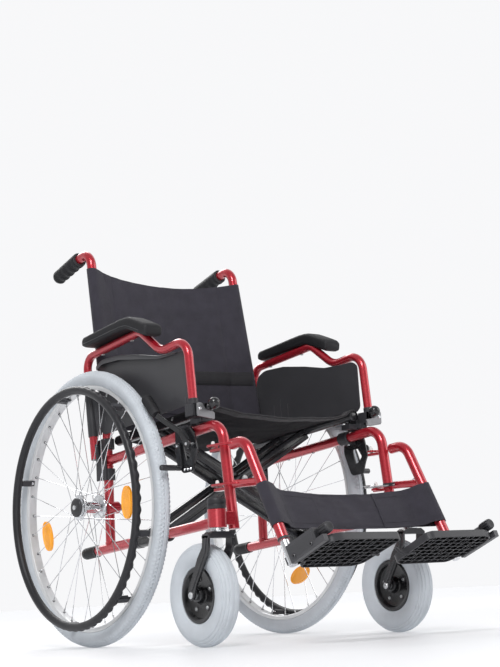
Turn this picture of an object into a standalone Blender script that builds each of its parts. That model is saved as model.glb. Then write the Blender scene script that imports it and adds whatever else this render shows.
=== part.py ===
"""Folding manual wheelchair, modelled as separate pieces.

Metres, +Z up. The chair faces -Y and its own left side is +X. Pieces are worked out from the point on
the floor under the rear axle, and the empty they hang from moves that point back by AXLE_Y.
Every paired piece is made for the left side and mirrored for the right.
"""
import math

import bmesh
import bpy
from mathutils import Matrix, Vector

for old in list(bpy.data.objects):
    bpy.data.objects.remove(old, do_unlink=True)

# ---- driving dimensions ------------------------------------------------------------------------------
GAP = 0.0003                   # clearance between pieces that touch
RUN = 0.0005                   # radial clearance of a pin in its hole

WHEEL_R = 0.300                # 24 inch rear wheel
WHEEL_X = 0.265                # middle plane of the rear wheel
TYRE_HALF = 0.015
BEAD_R = 0.2685                # inner radius of the rear tyre
HANDRIM_R = 0.2553
HANDRIM_X = 0.309
HANDRIM_TUBE = 0.0095
HANDRIM_FEET = (38, 106, 142, 191, 287, 344)    # degrees from the top towards the front
RIM_R = 0.258                  # inner radius of the rear rim
SPOKES_PER_FLANGE = 18

CASTER_R = 0.100               # 200 mm front caster
CASTER_X = 0.257
CASTER_HALF = 0.0225
CASTER_AXLE_Y = -0.403
STEM_Y = -0.457                # swivel axis, ahead of the caster axle by the trail

FRAME_X = 0.214                # middle plane of a side frame
TUBE = 0.011                   # radius of the frame tube
TILT = math.radians(4.4)       # the seat and both long tubes rise towards the front
RAIL_Z = 0.2115                # bottom rail height above the axle point
RAIL_END = 0.054               # the bottom rail runs this far behind the axle
SEAT_TUBE_Z = 0.404            # upper frame tube height above the axle point
FRONT_CORNER = (-0.429, 0.437)
FRONT_FOOT = (-0.4535, 0.224)

BRACE_V = -0.169               # where the cross brace stands along the bottom rail
BRACE_RISE = 0.118             # height of the scissor pivot over the bottom rail
SEAT_RAIL_X = 0.196
SEAT_RAIL_W = 0.232
SEAT_RAIL = 0.0105

ARM_X = 0.239                  # middle plane of an armrest
ARM_TUBE = 0.0095
ARM_PIVOT = (0.0165, 0.420)

FOOT_SLOPE = math.radians(21)  # toes-up angle of a footplate
HINGE_X = 0.2105               # footplate hinge
HINGE_AT = (-0.6506, 0.1795)
HANGER = ((-0.4605, 0.3895), (-0.503, 0.393), (-0.607, 0.192))

KNOB_FRONT = 0.0900            # how far the footplate knob stands ahead of HINGE_AT along the slope
FRONT_Y = HINGE_AT[0] - KNOB_FRONT * math.cos(FOOT_SLOPE) - 0.0032
AXLE_Y = -(FRONT_Y + WHEEL_R) / 2

# colour, roughness, metallic
MATERIALS = {
    "red_paint": ((0.42, 0.012, 0.025), 0.28, 0.55),
    "black_paint": ((0.012, 0.012, 0.014), 0.35, 0.3),
    "black_plastic": ((0.02, 0.02, 0.022), 0.5, 0.0),
    "black_foam": ((0.018, 0.018, 0.02), 0.65, 0.0),
    "grey_tyre": ((0.42, 0.47, 0.52), 0.7, 0.0),
    "silver": ((0.72, 0.73, 0.75), 0.3, 0.9),
    "black_fabric": ((0.028, 0.026, 0.032), 0.85, 0.0),
    "amber": ((0.95, 0.42, 0.02), 0.25, 0.0),
}

chair = bpy.data.objects.new("chair", None)
chair.location = (0.0, AXLE_Y, 0.0)
bpy.context.scene.collection.objects.link(chair)


# ---- modelling tools ---------------------------------------------------------------------------------
def material(name):
    """The Principled material of that name, made once."""
    made = bpy.data.materials.get(name)
    if made:
        return made
    made = bpy.data.materials.new(name)
    made.use_nodes = True
    colour, roughness, metallic = MATERIALS[name]
    shader = made.node_tree.nodes["Principled BSDF"]
    shader.inputs["Base Color"].default_value = (*colour, 1.0)
    shader.inputs["Roughness"].default_value = roughness
    shader.inputs["Metallic"].default_value = metallic
    return made


def solid(shape):
    """A loose object from a bmesh, with its faces pointing out."""
    bmesh.ops.recalc_face_normals(shape, faces=shape.faces)
    mesh = bpy.data.meshes.new("shape")
    shape.to_mesh(mesh)
    shape.free()
    made = bpy.data.objects.new("shape", mesh)
    bpy.context.scene.collection.objects.link(made)
    return made


def bridge(shape, lower, upper):
    """Faces between two rings of vertices."""
    for k in range(len(lower)):
        n = (k + 1) % len(lower)
        shape.faces.new((lower[k], lower[n], upper[n], upper[k]))


def across(axis):
    """Two directions square to an axis."""
    axis = Vector(axis).normalized()
    rough = Vector((0, 0, -1)) if abs(axis.z) < 0.9 else Vector((1, 0, 0))
    first = (rough - axis * rough.dot(axis)).normalized()
    return axis, first, axis.cross(first)


def turned(profile, start, axis, sides=16, ring=False):
    """A turned solid from (radius, distance along the axis) pairs, closed by flat ends or into a ring."""
    axis, first, second = across(axis)
    turn = [2 * math.pi * k / sides for k in range(sides)]
    shape = bmesh.new()
    rings = []
    for radius, distance in profile:
        middle = Vector(start) + axis * distance
        rings.append([
            shape.verts.new(middle + (first * math.cos(a) + second * math.sin(a)) * radius) for a in turn
        ])
    for lower, upper in zip(rings, rings[1:]):
        bridge(shape, lower, upper)
    if ring:
        bridge(shape, rings[-1], rings[0])
    else:
        shape.faces.new(rings[0])
        shape.faces.new(rings[-1])
    return solid(shape)


def rod(start, end, radius, sides=12, inner=0.0):
    """A round bar between two points, or a sleeve if it has an inner radius."""
    start, end = Vector(start), Vector(end)
    length = (end - start).length
    if inner:
        outline = [(inner, 0), (radius, 0), (radius, length), (inner, length)]
        return turned(outline, start, end - start, sides, ring=True)
    return turned([(radius, 0), (radius, length)], start, end - start, sides)


def rounded(points, radius, steps=4):
    """A path through points with each corner turned on an arc."""
    points = [Vector(p) for p in points]
    path = [points[0]]
    for before, corner, after in zip(points, points[1:], points[2:]):
        back, ahead = (before - corner).normalized(), (after - corner).normalized()
        angle = back.angle(ahead)
        centre = corner + (back + ahead).normalized() * (radius / math.sin(angle / 2))
        reach = radius / math.tan(angle / 2)
        first, last = [(corner + way * reach - centre).normalized() for way in (back, ahead)]
        path += [centre + first.slerp(last, k / steps) * radius for k in range(steps + 1)]
    return path + [points[-1]]


def swept(path, radius, sides=12):
    """A tube along a path, closed at both ends."""
    path = [Vector(p) for p in path]
    shape = bmesh.new()
    normal = Vector((1, 0, 0))
    rings = []
    for k, point in enumerate(path):
        tangent = (path[min(k + 1, len(path) - 1)] - path[max(k - 1, 0)]).normalized()
        if abs(tangent.dot(normal)) > 0.95:
            normal = Vector((0, 0, 1))
        normal = (normal - tangent * normal.dot(tangent)).normalized()
        side = tangent.cross(normal)
        turn = [2 * math.pi * (n + 0.5) / sides for n in range(sides)]
        rings.append([
            shape.verts.new(point + (normal * math.cos(a) + side * math.sin(a)) * radius) for a in turn
        ])
    for lower, upper in zip(rings, rings[1:]):
        bridge(shape, lower, upper)
    shape.faces.new(rings[0])
    shape.faces.new(rings[-1])
    return solid(shape)


def slab(outline, low, high, plane="yz", bevel=0.0):
    """An outline pushed along the axis its plane leaves out, from low to high."""
    order = {"yz": (2, 0, 1), "xz": (0, 2, 1), "xy": (0, 1, 2)}[plane]
    shape = bmesh.new()
    ends = []
    for height in (low, high):
        ends.append([])
        for a, b in outline:
            flat = (a, b, height)
            ends[-1].append(shape.verts.new([flat[n] for n in order]))
    shape.faces.new(ends[0])
    shape.faces.new(ends[1])
    bridge(shape, *ends)
    if bevel:
        bmesh.ops.recalc_face_normals(shape, faces=shape.faces)
        edges = [e for e in shape.edges if e.calc_face_angle(0) > 0.7]
        bmesh.ops.bevel(shape, geom=edges, offset=bevel, segments=1, affect="EDGES")
    return solid(shape)


def block(x, y, z, bevel=0.0):
    """A rectangular block between pairs of limits."""
    outline = [(x[0], y[0]), (x[1], y[0]), (x[1], y[1]), (x[0], y[1])]
    return slab(outline, z[0], z[1], "xy", bevel)


def sheet(across_x, rows, surface, thickness):
    """A thin closed sheet: surface(x, v) gives a point, v runs 0 to 1 and thickness is a vector."""
    shape = bmesh.new()
    sides = [
        [[shape.verts.new(surface(x, v / rows) + shift) for x in across_x] for v in range(rows + 1)]
        for shift in (Vector(), Vector(thickness))
    ]
    for grid in sides:
        for lower, upper in zip(grid, grid[1:]):
            for k in range(len(across_x) - 1):
                shape.faces.new((lower[k], lower[k + 1], upper[k + 1], upper[k]))
    edges = []
    for grid in sides:
        edge = grid[0] + [row[-1] for row in grid[1:]] + grid[-1][-2::-1] + [row[0] for row in grid[-2:0:-1]]
        edges.append(edge)
    bridge(shape, *edges)
    return solid(shape)


def boolean(target, others, operation):
    """Joins or cuts with the exact solver, and uses the other shapes up."""
    for other in others:
        step = target.modifiers.new("boolean", "BOOLEAN")
        step.operation = operation
        step.solver = "EXACT"
        step.object = other
    bpy.context.view_layer.update()
    graph = bpy.context.evaluated_depsgraph_get()
    result = bpy.data.meshes.new_from_object(target.evaluated_get(graph))
    target.modifiers.clear()
    target.data = result
    for other in others:
        bpy.data.objects.remove(other, do_unlink=True)
    return target


def fuse(target, *others):
    return boolean(target, others, "UNION")


def cut(target, *others):
    return boolean(target, others, "DIFFERENCE")


def moved(target, matrix):
    target.data.transform(matrix)
    return target


def finish(target, name, paint, pivot=(0, 0, 0)):
    """Names a shape, paints it, and puts its origin on its pivot under the chair's empty."""
    target.name = name
    target.data.name = name
    target.data.materials.clear()
    target.data.materials.append(material(paint))
    target.data.shade_smooth()
    target.data.set_sharp_from_angle(angle=math.radians(32))
    target.data.transform(Matrix.Translation(-Vector(pivot)))
    target.parent = chair
    target.location = pivot
    return target


def pair(target, name, paint, pivot=(0, 0, 0)):
    """The left piece and its mirror image on the right."""
    twin = target.copy()
    twin.data = target.data.copy()
    twin.data.transform(Matrix.Scale(-1, 4, (1, 0, 0)))
    twin.data.flip_normals()
    bpy.context.scene.collection.objects.link(twin)
    finish(target, name + "_l", paint, pivot)
    finish(twin, name + "_r", paint, (-pivot[0], pivot[1], pivot[2]))


def tilted(angle, origin):
    """A frame at origin that leans back by the angle: its y runs back and down, its z up and back."""
    return Matrix.Translation(origin) @ Matrix.Rotation(-angle, 4, "X")


def in_plane(x, points):
    return [(x, y, z) for y, z in points]


def rail_z(y):
    return RAIL_Z - math.tan(TILT) * y


def seat_tube_z(y):
    return SEAT_TUBE_Z - math.tan(TILT) * y


# ---- lines that several pieces share -----------------------------------------------------------------
def upright_y(z):
    """The front upright's Y at a height."""
    (y1, z1), (y0, z0) = FRONT_CORNER, FRONT_FOOT
    return y0 + (y1 - y0) * (z - z0) / (z1 - z0)


PIN_BACK = 0.038               # hanger pins stand this far behind the front upright
LUG_Z = (0.3905, 0.3115)       # heights of the two hanger plates
pin_low = Vector((FRAME_X, upright_y(LUG_Z[1]) + PIN_BACK, LUG_Z[1]))
pin_high = Vector((FRAME_X, upright_y(LUG_Z[0]) + PIN_BACK, LUG_Z[0]))
pin_axis = (pin_high - pin_low).normalized()

bend, shoe_end = Vector((FRAME_X, *HANGER[1])), Vector((FRAME_X, *HANGER[2]))
leg = (shoe_end - bend).normalized()

seat_frame = tilted(TILT, (0, 0, RAIL_Z))
foot_frame = tilted(FOOT_SLOPE, (0, *HINGE_AT))

HANDLE = Vector((0.205, 0.0655, 0.9025)), Vector((0.205, 0.211, 0.8675))   # push handle's line
BRAKE_PIVOT = (-0.347, 0.402)
SHOE_PIVOT = (-0.303, 0.402)
SHOE_BAR = (-0.3085, 0.357)
KNOB_PIVOT = (0.2225, 0.4715)
LATCH = (0.1955, -0.421)         # the footrest's release lever turns here
FOLD_LINE = (FRAME_X, 0, RAIL_Z)   # a side frame folds about its bottom rail
RIGHT_FOLD = (-FRAME_X, 0, RAIL_Z)


# ---- side frame, back and handle ---------------------------------------------------------------------
def side_frame():
    seat_tube = rounded(
        in_plane(FRAME_X, [(0.006, seat_tube_z(0.006)), FRONT_CORNER, FRONT_FOOT]), 0.038, 5
    )
    frame = swept(seat_tube, TUBE)
    rail = swept(in_plane(FRAME_X, [(RAIL_END, rail_z(RAIL_END)), (-0.449, rail_z(-0.449))]), TUBE)
    upright = swept(in_plane(FRAME_X, [(0.002, rail_z(0)), (0.002, 0.426)]), TUBE - 0.0002)
    head = rod((CASTER_X, STEM_Y, 0.2265), (CASTER_X, STEM_Y, 0.2625), 0.0185, 16)
    gusset = block((FRAME_X, CASTER_X - 0.006), (STEM_Y - 0.008, STEM_Y + 0.008), (0.2320, 0.2575))
    axle = turned([(0.0135, 0), (0.0135, 0.039), (0.0060, 0.039), (0.0060, 0.1075)],
                  (0.1895, 0, WHEEL_R), (1, 0, 0), 12)
    parts = [rail, upright, head, gusset, axle]
    for pin in (pin_low, pin_high):
        under = pin.z - 0.0045
        lug = block(
            (FRAME_X - 0.008, FRAME_X + 0.008), (upright_y(under), pin.y + 0.008), (under - 0.006, under)
        )
        parts += [lug, rod(pin - pin_axis * 0.008, pin + pin_axis * 0.012, 0.0038)]
    parts.append(block((LATCH[0] - 0.006, FRAME_X), (LATCH[1] - 0.007, LATCH[1] + 0.006), (0.3025, 0.3075)))
    parts.append(rod((*LATCH, 0.3040), (*LATCH, 0.3165), 0.0026))
    fuse(frame, *parts)
    bore = rod((CASTER_X, STEM_Y, 0.20), (CASTER_X, STEM_Y, 0.30), 0.0090 + RUN, 16)
    cut(frame, bore)
    pair(frame, "side_frame", "red_paint", FOLD_LINE)


def back_cane():
    low = rounded([(FRAME_X, 0.002, 0.4265), (FRAME_X, 0.002, 0.4720), (0.2110, 0.0075, 0.5450),
                   (0.205, 0.0620, 0.862)], 0.12, 2)
    top = rounded([low[-1], HANDLE[0], HANDLE[1]], 0.034, 5)
    pair(swept(low + top[1:], TUBE), "back_cane", "red_paint", FOLD_LINE)


def push_grip():
    start, axis = HANDLE[0].lerp(HANDLE[1], 0.34), HANDLE[1] - HANDLE[0]
    length, bore = 0.106, TUBE + 0.0007
    waves = [(0.0168 - 0.0014 * (k % 2), 0.012 + 0.0115 * k) for k in range(8)]
    outline = [(bore, 0.1005), (bore, 0), (0.0172, 0), (0.0180, 0.006), *waves,
               (0.0150, length - 0.003), (0.0120, length)]
    shape = turned(outline, start, axis, 14)
    pair(shape, "push_grip", "black_foam", FOLD_LINE)


def rail_cap():
    start = Vector((FRAME_X, RAIL_END + 2 * GAP, rail_z(RAIL_END + 2 * GAP)))
    back = Vector((0, math.cos(TILT), -math.sin(TILT)))
    shape = turned(
        [(0.0118, 0), (0.0130, 0.002), (0.0130, 0.050), (0.0110, 0.054)], start, back, 12
    )
    pair(shape, "rail_cap", "black_plastic", FOLD_LINE)


def back_joint():
    """Clamp that ties the back cane to the rear upright and carries the armrest's rear pivot."""
    y, z = ARM_PIVOT
    collar = rod((FRAME_X, 0.002, 0.4285), (FRAME_X, 0.002, 0.4525), 0.0150, 16, inner=TUBE + 0.0006)
    lower = rod((FRAME_X, 0.002, 0.3600), (FRAME_X, 0.002, 0.3860), 0.0150, 16, inner=TUBE + 0.0006)
    plate = slab([(0.0142, 0.362), (0.030, 0.368), (0.034, 0.400), (0.030, 0.444), (0.0142, 0.451)],
                 0.2085, 0.2195)
    arm = block((0.2100, 0.2285), (0.0155, 0.0275), (z - 0.012, z + 0.012))
    pin = rod((0.2200, y, z), (0.2478, y, z), 0.0040)
    boss = rod((0.2260, y, z), (0.2288, y, z), 0.0090)
    fuse(collar, lower, plate, arm, pin, boss)
    pair(collar, "back_joint", "black_plastic", FOLD_LINE)


def arm_socket():
    """Front socket of the armrest on the frame tube, with the seat rail's saddle behind it."""
    shape = block((0.2170, 0.2525), (-0.3925, -0.3570), (0.4525, 0.4800), 0.001)
    foot = block((0.2072, 0.2262), (-0.3750, -0.3595), (0.4450, 0.4560))
    saddle = block((0.1860, 0.2245), (-0.3620, -0.3340), (0.4430, 0.4550))
    cheek = block((0.2074, 0.2218), (-0.3620, -0.3340), (0.4500, 0.4720))
    wing = slab([(0.1900, 0.4490), (0.2400, 0.4530), (0.2400, 0.4770), (0.2190, 0.4790),
                 (0.1900, 0.4700)], -0.3975, -0.3920, "xz")
    screw = rod((KNOB_PIVOT[0], -0.3960, KNOB_PIVOT[1]), (KNOB_PIVOT[0], -0.4070, KNOB_PIVOT[1]), 0.0030)
    fuse(shape, foot, saddle, cheek, wing, screw)
    cut(shape, block((0.2286, 0.2494), (-0.3850, -0.3400), (0.4560, 0.5000)))
    pair(shape, "arm_socket", "black_plastic", FOLD_LINE)


# ---- wheels ------------------------------------------------------------------------------------------
def rear_wheel():
    hub = (WHEEL_X, 0, WHEEL_R)
    section = [(BEAD_R, -0.0110), (0.2850, -TYRE_HALF), (WHEEL_R, -0.0070),
               (WHEEL_R, 0.0070), (0.2850, TYRE_HALF), (BEAD_R, 0.0110)]
    pair(turned(section, hub, (1, 0, 0), 48, ring=True), "rear_tyre", "grey_tyre", hub)
    seat = BEAD_R - 2 * GAP
    section = [(RIM_R, -0.0100), (seat, -0.0108), (seat, 0.0108), (RIM_R, 0.0100)]
    pair(turned(section, hub, (1, 0, 0), 48, ring=True), "rear_rim", "silver", hub)
    pair(wheel_hub(), "wheel_hub", "silver", hub)
    pair(handrim(), "handrim", "black_plastic", hub)
    finish(reflector(0.178, math.radians(68), 1), "reflector_l", "amber", hub)
    finish(reflector(0.150, 0.0, -1), "reflector_r", "amber", (-hub[0], *hub[1:]))


def wheel_hub():
    """Hub shell with its end cap, and the spokes laced from its two flanges."""
    start, flange, barrel, bore = 0.2370, 0.0290, 0.0125, 0.0060 + RUN
    outline = [(bore, 0.0615), (bore, 0), (0.0110, 0), (barrel, 0.0035), (flange, 0.0045),
               (flange, 0.0075), (barrel, 0.0085), (barrel, 0.0530), (flange, 0.0540), (flange, 0.0570),
               (0.0210, 0.0582), (0.0200, 0.0655), (0.0120, 0.0700)]
    hub = turned(outline, (start, 0, WHEEL_R), (1, 0, 0), 18)
    spokes = []
    lean = math.radians(62)
    for plane, twist in ((start + 0.0060, lean), (start + 0.0555, -lean)):
        for k in range(SPOKES_PER_FLANGE):
            a = 2 * math.pi * (k + (0.25 if twist > 0 else 0.75)) / SPOKES_PER_FLANGE
            inner = Vector((plane, 0.0262 * math.cos(a), WHEEL_R + 0.0262 * math.sin(a)))
            b = a + twist * 0.16
            reach = RIM_R * math.cos(math.pi / 48) - 2 * GAP
            rim_x = WHEEL_X + 0.12 * (plane - WHEEL_X)
            outer = Vector((rim_x, reach * math.cos(b), WHEEL_R + reach * math.sin(b)))
            spokes.append(rod(inner, outer, 0.0011, 3))
    return fuse(hub, *spokes)


def handrim():
    section = [
        (HANDRIM_R + HANDRIM_TUBE * math.cos(a), HANDRIM_TUBE * math.sin(a))
        for a in (2 * math.pi * k / 6 for k in range(6))
    ]
    shape = turned(section, (HANDRIM_X, 0, WHEEL_R), (1, 0, 0), 48, ring=True)
    feet = []
    for around in HANDRIM_FEET:
        foot = block((WHEEL_X + 0.0105, HANDRIM_X - 0.004), (-0.0035, 0.0035), (0.2528, 0.2578))
        turn = Matrix.Rotation(math.radians(around), 4, "X")
        feet.append(moved(foot, Matrix.Translation((0, 0, WHEEL_R)) @ turn))
    return fuse(shape, *feet)


def reflector(reach, below, side):
    """Oval spoke reflector, clipped in at a distance from the hub and an angle below its front."""
    outline = [
        (0.018 * math.cos(a) - reach, 0.035 * math.sin(a))
        for a in (2 * math.pi * k / 16 for k in range(16))
    ]
    shape = slab(outline, side * WHEEL_X - 0.0040, side * WHEEL_X + 0.0040)
    return moved(shape, Matrix.Translation((0, 0, WHEEL_R)) @ Matrix.Rotation(below, 4, "X"))


def caster():
    axle = (CASTER_X, CASTER_AXLE_Y, CASTER_R)
    section = [(0.0555, -0.0150), (0.0760, -CASTER_HALF), (0.0930, -0.0170), (CASTER_R, -0.0065),
               (CASTER_R, 0.0065), (0.0930, 0.0170), (0.0760, CASTER_HALF), (0.0555, 0.0150)]
    pair(turned(section, axle, (1, 0, 0), 32, ring=True), "caster_tyre", "grey_tyre", axle)
    half = [(0.0050 + RUN, 0.0200), (0.0140, 0.0200), (0.0170, 0.0065), (0.0430, 0.0065),
            (0.0470, 0.0145), (0.0548, 0.0145)]
    section = [(r, -x) for r, x in half] + half[::-1]
    pair(turned(section, axle, (1, 0, 0), 20, ring=True), "caster_rim", "black_plastic", axle)

    stem = turned([(0.0090, 0), (0.0090, 0.0560), (0.0175, 0.0565), (0.0185, 0.0600),
                   (0.0185, 0.0740), (0.0150, 0.0780)],
                  (CASTER_X, STEM_Y, 0.2070), (0, 0, 1), 16)
    washer = rod((CASTER_X, STEM_Y, 0.2180), (CASTER_X, STEM_Y, 0.2258), 0.0150, 16)
    outer, inner = 0.0310, 0.0258
    crown = block((CASTER_X - outer, CASTER_X + outer), (STEM_Y - 0.0130, STEM_Y + 0.0115),
                  (0.2065, 0.2190), 0.003)
    profile = [(STEM_Y - 0.010, 0.2150), (STEM_Y - 0.006, 0.1800), (-0.4210, 0.1180), (-0.4130, 0.0960),
               (-0.4030, 0.0900), (-0.3930, 0.0960), (-0.3930, 0.1060), (-0.4280, 0.1700),
               (STEM_Y + 0.009, 0.1950), (STEM_Y + 0.009, 0.2150)]
    legs = [slab(profile, CASTER_X + a, CASTER_X + b) for a, b in ((inner, outer), (-outer, -inner))]
    bolt = rod((CASTER_X - outer - 0.003, *axle[1:]), (CASTER_X + outer + 0.003, *axle[1:]), 0.0050)
    fuse(stem, washer, crown, *legs, bolt)
    pair(stem, "caster_fork", "black_paint", (CASTER_X, STEM_Y, CASTER_R))


# ---- armrest -----------------------------------------------------------------------------------------
def armrest():
    pivot = (ARM_X, *ARM_PIVOT)
    line = [(0.0150, 0.407), (0.0400, 0.6405), (-0.185, 0.662), (-0.262, 0.606), (-0.3560, 0.6175),
            (-0.3710, 0.4590)]
    tube = swept(rounded(in_plane(ARM_X, line), 0.031, 3), ARM_TUBE, 10)
    y, z = ARM_PIVOT
    cut(tube, rod((0.22, y, z), (0.26, y, z), 0.0040 + RUN))
    pair(tube, "armrest_tube", "red_paint", pivot)

    outline = [(0.0050, 0.6600), (0.0030, 0.6800), (-0.1500, 0.6950), (-0.1830, 0.6940),
               (-0.2500, 0.6620), (-0.2460, 0.6460), (-0.1840, 0.6730)]
    pair(slab(outline, 0.2265, 0.2725, bevel=0.006), "arm_pad", "black_foam", pivot)

    outline = [(-0.3560, 0.4950), (-0.3540, 0.5900), (-0.3380, 0.6000), (-0.3000, 0.5990),
               (-0.2400, 0.6010), (-0.1700, 0.6150), (-0.0900, 0.6270), (-0.0200, 0.6280),
               (0.0080, 0.6160), (0.0160, 0.5900), (0.0080, 0.4700), (-0.0100, 0.4610),
               (-0.3450, 0.4850)]
    pair(slab(outline, 0.2254, 0.2292), "side_panel", "black_plastic", pivot)

    ball, radius, front = Vector((0.2178, -0.4110, 0.4777)), 0.0125, -0.4015
    profile = [(radius * math.cos(a), radius * math.sin(a)) for a in map(math.radians, range(-72, 73, 24))]
    knob = turned(profile, ball, (0, 0, 1), 12)
    y, z = front, KNOB_PIVOT[1]
    stalk = swept([(KNOB_PIVOT[0], y, z), (ball.x, y, ball.z - 0.002)], 0.0034, 8)
    eye = rod((KNOB_PIVOT[0], -0.3982, z), (KNOB_PIVOT[0], -0.4052, z), 0.0065)
    fuse(knob, stalk, eye)
    cut(knob, rod((KNOB_PIVOT[0], -0.39, z), (KNOB_PIVOT[0], -0.42, z), 0.0030 + RUN))
    pair(knob, "arm_knob", "black_plastic", (KNOB_PIVOT[0], ball.y, z))


# ---- brake -------------------------------------------------------------------------------------------
def brake():
    outline = [(-0.2900, 0.4330), (-0.2900, 0.3950), (-0.3080, 0.3500), (-0.3160, 0.3455),
               (-0.3500, 0.3470), (-0.3530, 0.3600), (-0.3590, 0.3740), (-0.3665, 0.3870),
               (-0.3580, 0.4240), (-0.3450, 0.4380), (-0.3000, 0.4380)]
    plate = slab(outline, 0.2290, 0.2330)
    middle = seat_tube_z(-0.316)
    clamp = block((0.2000, 0.2310), (-0.3310, -0.3010), (middle - 0.0150, middle + 0.0150), 0.002)
    pins = [rod((0.2300, y, z), (end, y, z), 0.0038)
            for (y, z), end in ((BRAKE_PIVOT, 0.2475), (SHOE_PIVOT, 0.2400))]
    fuse(plate, clamp, *pins)
    run = [(FRAME_X, y, seat_tube_z(y)) for y in (-0.28, -0.35)]
    window = slab([(-0.3170, 0.4020), (-0.3350, 0.4040), (-0.3480, 0.3850), (-0.3280, 0.3660)],
                  0.2280, 0.2340)
    cut(plate, rod(*run, TUBE + 0.0008, 16), window)
    pair(plate, "brake_bracket", "black_paint", FOLD_LINE)

    pivot = (0.2415, *BRAKE_PIVOT)
    path = [(0.2440, *BRAKE_PIVOT), (0.2440, -0.3240, 0.4300), (0.2540, -0.2930, 0.4510),
            (0.2665, -0.2760, 0.4680), (0.2665, -0.2420, 0.5050)]
    lever = swept(path, 0.0048, 8)
    eye = rod((0.2394, *BRAKE_PIVOT), (0.2470, *BRAKE_PIVOT), 0.0100)
    grip = rod((0.2665, -0.2745, 0.4697), (0.2665, -0.2375, 0.5099), 0.0120)
    fuse(lever, eye, grip)
    cut(lever, rod((0.23, *BRAKE_PIVOT), (0.26, *BRAKE_PIVOT), 0.0038 + RUN))
    pair(lever, "brake_lever", "black_paint", pivot)

    (y, z), (bar_y, bar_z) = SHOE_PIVOT, SHOE_BAR
    arm = slab([(y - 0.0075, z + 0.007), (y + 0.0075, z + 0.007), (y + 0.0075, z - 0.007),
                (bar_y + 0.006, bar_z), (bar_y, bar_z - 0.005), (bar_y - 0.008, bar_z),
                (y - 0.0105, z - 0.010)], 0.2340, 0.2382)
    bar = rod((0.2345, bar_y, bar_z), (0.2840, bar_y, bar_z), 0.0060)
    fuse(arm, bar)
    cut(arm, rod((0.22, y, z), (0.26, y, z), 0.0038 + RUN))
    pair(arm, "brake_shoe", "black_paint", (0.2360, y, z))


# ---- footrest ----------------------------------------------------------------------------------------
def footrest():
    swing = tuple(pin_low)
    hanger = swept(rounded(in_plane(FRAME_X, HANGER), 0.036, 4), TUBE)
    parts = [swept([(FRAME_X, -0.4630, 0.3110), (FRAME_X, -0.5450, 0.3090)], 0.0080, 10)]
    for pin, thickness in ((pin_low, 0.0044), (pin_high, 0.0044)):
        parts.append(hook_plate(pin, thickness))
    fuse(hanger, *parts)
    socket = rod(shoe_end + leg * 0.02, shoe_end - leg * 0.132, 0.0088 + 0.0004)
    cut(hanger, socket)
    pair(hanger, "hanger", "red_paint", swing)

    outline = [(0.1935, -0.4790), (0.2015, -0.4790), (0.2015, -0.4120), (0.1960, -0.3990),
               (0.1840, -0.3990), (0.1835, -0.4130), (0.1890, -0.4270)]
    lever = slab(outline, 0.3090, 0.3150, "xy")
    cut(lever, rod((*LATCH, 0.30), (*LATCH, 0.32), 0.0026 + RUN))
    pair(lever, "release_lever", "silver", (*LATCH, 0.3120))

    tube = rod(shoe_end - leg * 0.112, shoe_end + leg * 0.052, 0.0088)
    pair(tube, "foot_tube", "silver", tuple(shoe_end))

    side = Vector((0, -leg.z, leg.y)) * -0.0125
    top, low = shoe_end + leg * 0.030, shoe_end + leg * 0.046
    clamp = slab([(p.y, p.z) for p in (top + side, top - side, low - side, low + side)], 0.2030, 0.2262)
    cheek = moved(slab([(-0.0620, -0.0280), (-0.0620, 0.0105), (0.0235, 0.0105), (0.0195, -0.0300)],
                       0.2168, 0.2275), foot_frame)
    lugs = [moved(rod((HINGE_X, a, 0), (HINGE_X, b, 0), 0.0078), foot_frame)
            for a, b in ((-0.0620, -0.0470), (-0.0100, 0.0040))]
    fuse(cheek, clamp, *lugs)
    pin_hole = moved(rod((HINGE_X, -0.09, 0), (HINGE_X, 0.007, 0), 0.0030 + RUN), foot_frame)
    cut(cheek, pin_hole, rod(shoe_end - leg * 0.02, shoe_end + leg * 0.07, 0.0088 + 0.0004))
    pair(cheek, "foot_bracket", "black_plastic", tuple(shoe_end))

    hinge = (HINGE_X, *HINGE_AT)
    profile = [(0.0030, -0.0040), (0.0030, 0.0630), (0.0098, 0.0632), (0.0108, 0.0670),
               (0.0108, 0.0865), (0.0092, KNOB_FRONT)]
    pin = moved(turned(profile, (HINGE_X, 0, 0), (0, -1, 0), 12), foot_frame)
    pair(pin, "foot_hinge", "black_plastic", hinge)

    outline = [(0.2150, 0.012), (0.200, 0.014), (0.196, 0.034), (0.188, 0.040), (0.062, 0.042),
               (0.043, 0.030), (0.035, -0.078), (0.045, -0.086), (0.205, -0.086), (0.2150, -0.076)]
    plate = slab(outline, -0.0240, -0.0130, "xy", 0.0015)
    web = block((0.2035, HINGE_X + 0.0025), (-0.0455, -0.0115), (-0.0200, -0.0010))
    knuckle = rod((HINGE_X, -0.0460, 0), (HINGE_X, -0.0110, 0), 0.0058)
    fuse(plate, web, knuckle)
    cut(plate, rod((HINGE_X, -0.06, 0), (HINGE_X, 0, 0), 0.0030 + RUN))
    pair(moved(plate, foot_frame), "footplate", "black_plastic", hinge)


def hook_plate(pin, thickness):
    """Plate that hooks round the outside of the front upright onto a hanger pin."""
    ahead = [(-0.008, -0.007), (-0.008, 0.010), (0.012, 0.026), (0.060, 0.026), (0.080, 0.010),
             (0.080, -0.008), (0.062, -0.008), (0.056, 0.0140), (0.020, 0.0140), (0.009, 0.003),
             (0.009, -0.007)]
    outline = [(pin.x + out, pin.y - front) for front, out in ahead]
    plate = slab(outline, pin.z - thickness / 2, pin.z + thickness / 2, "xy")
    return cut(plate, rod(pin - pin_axis * 0.01, pin + pin_axis * 0.01, 0.0038 + 0.0007))


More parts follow.
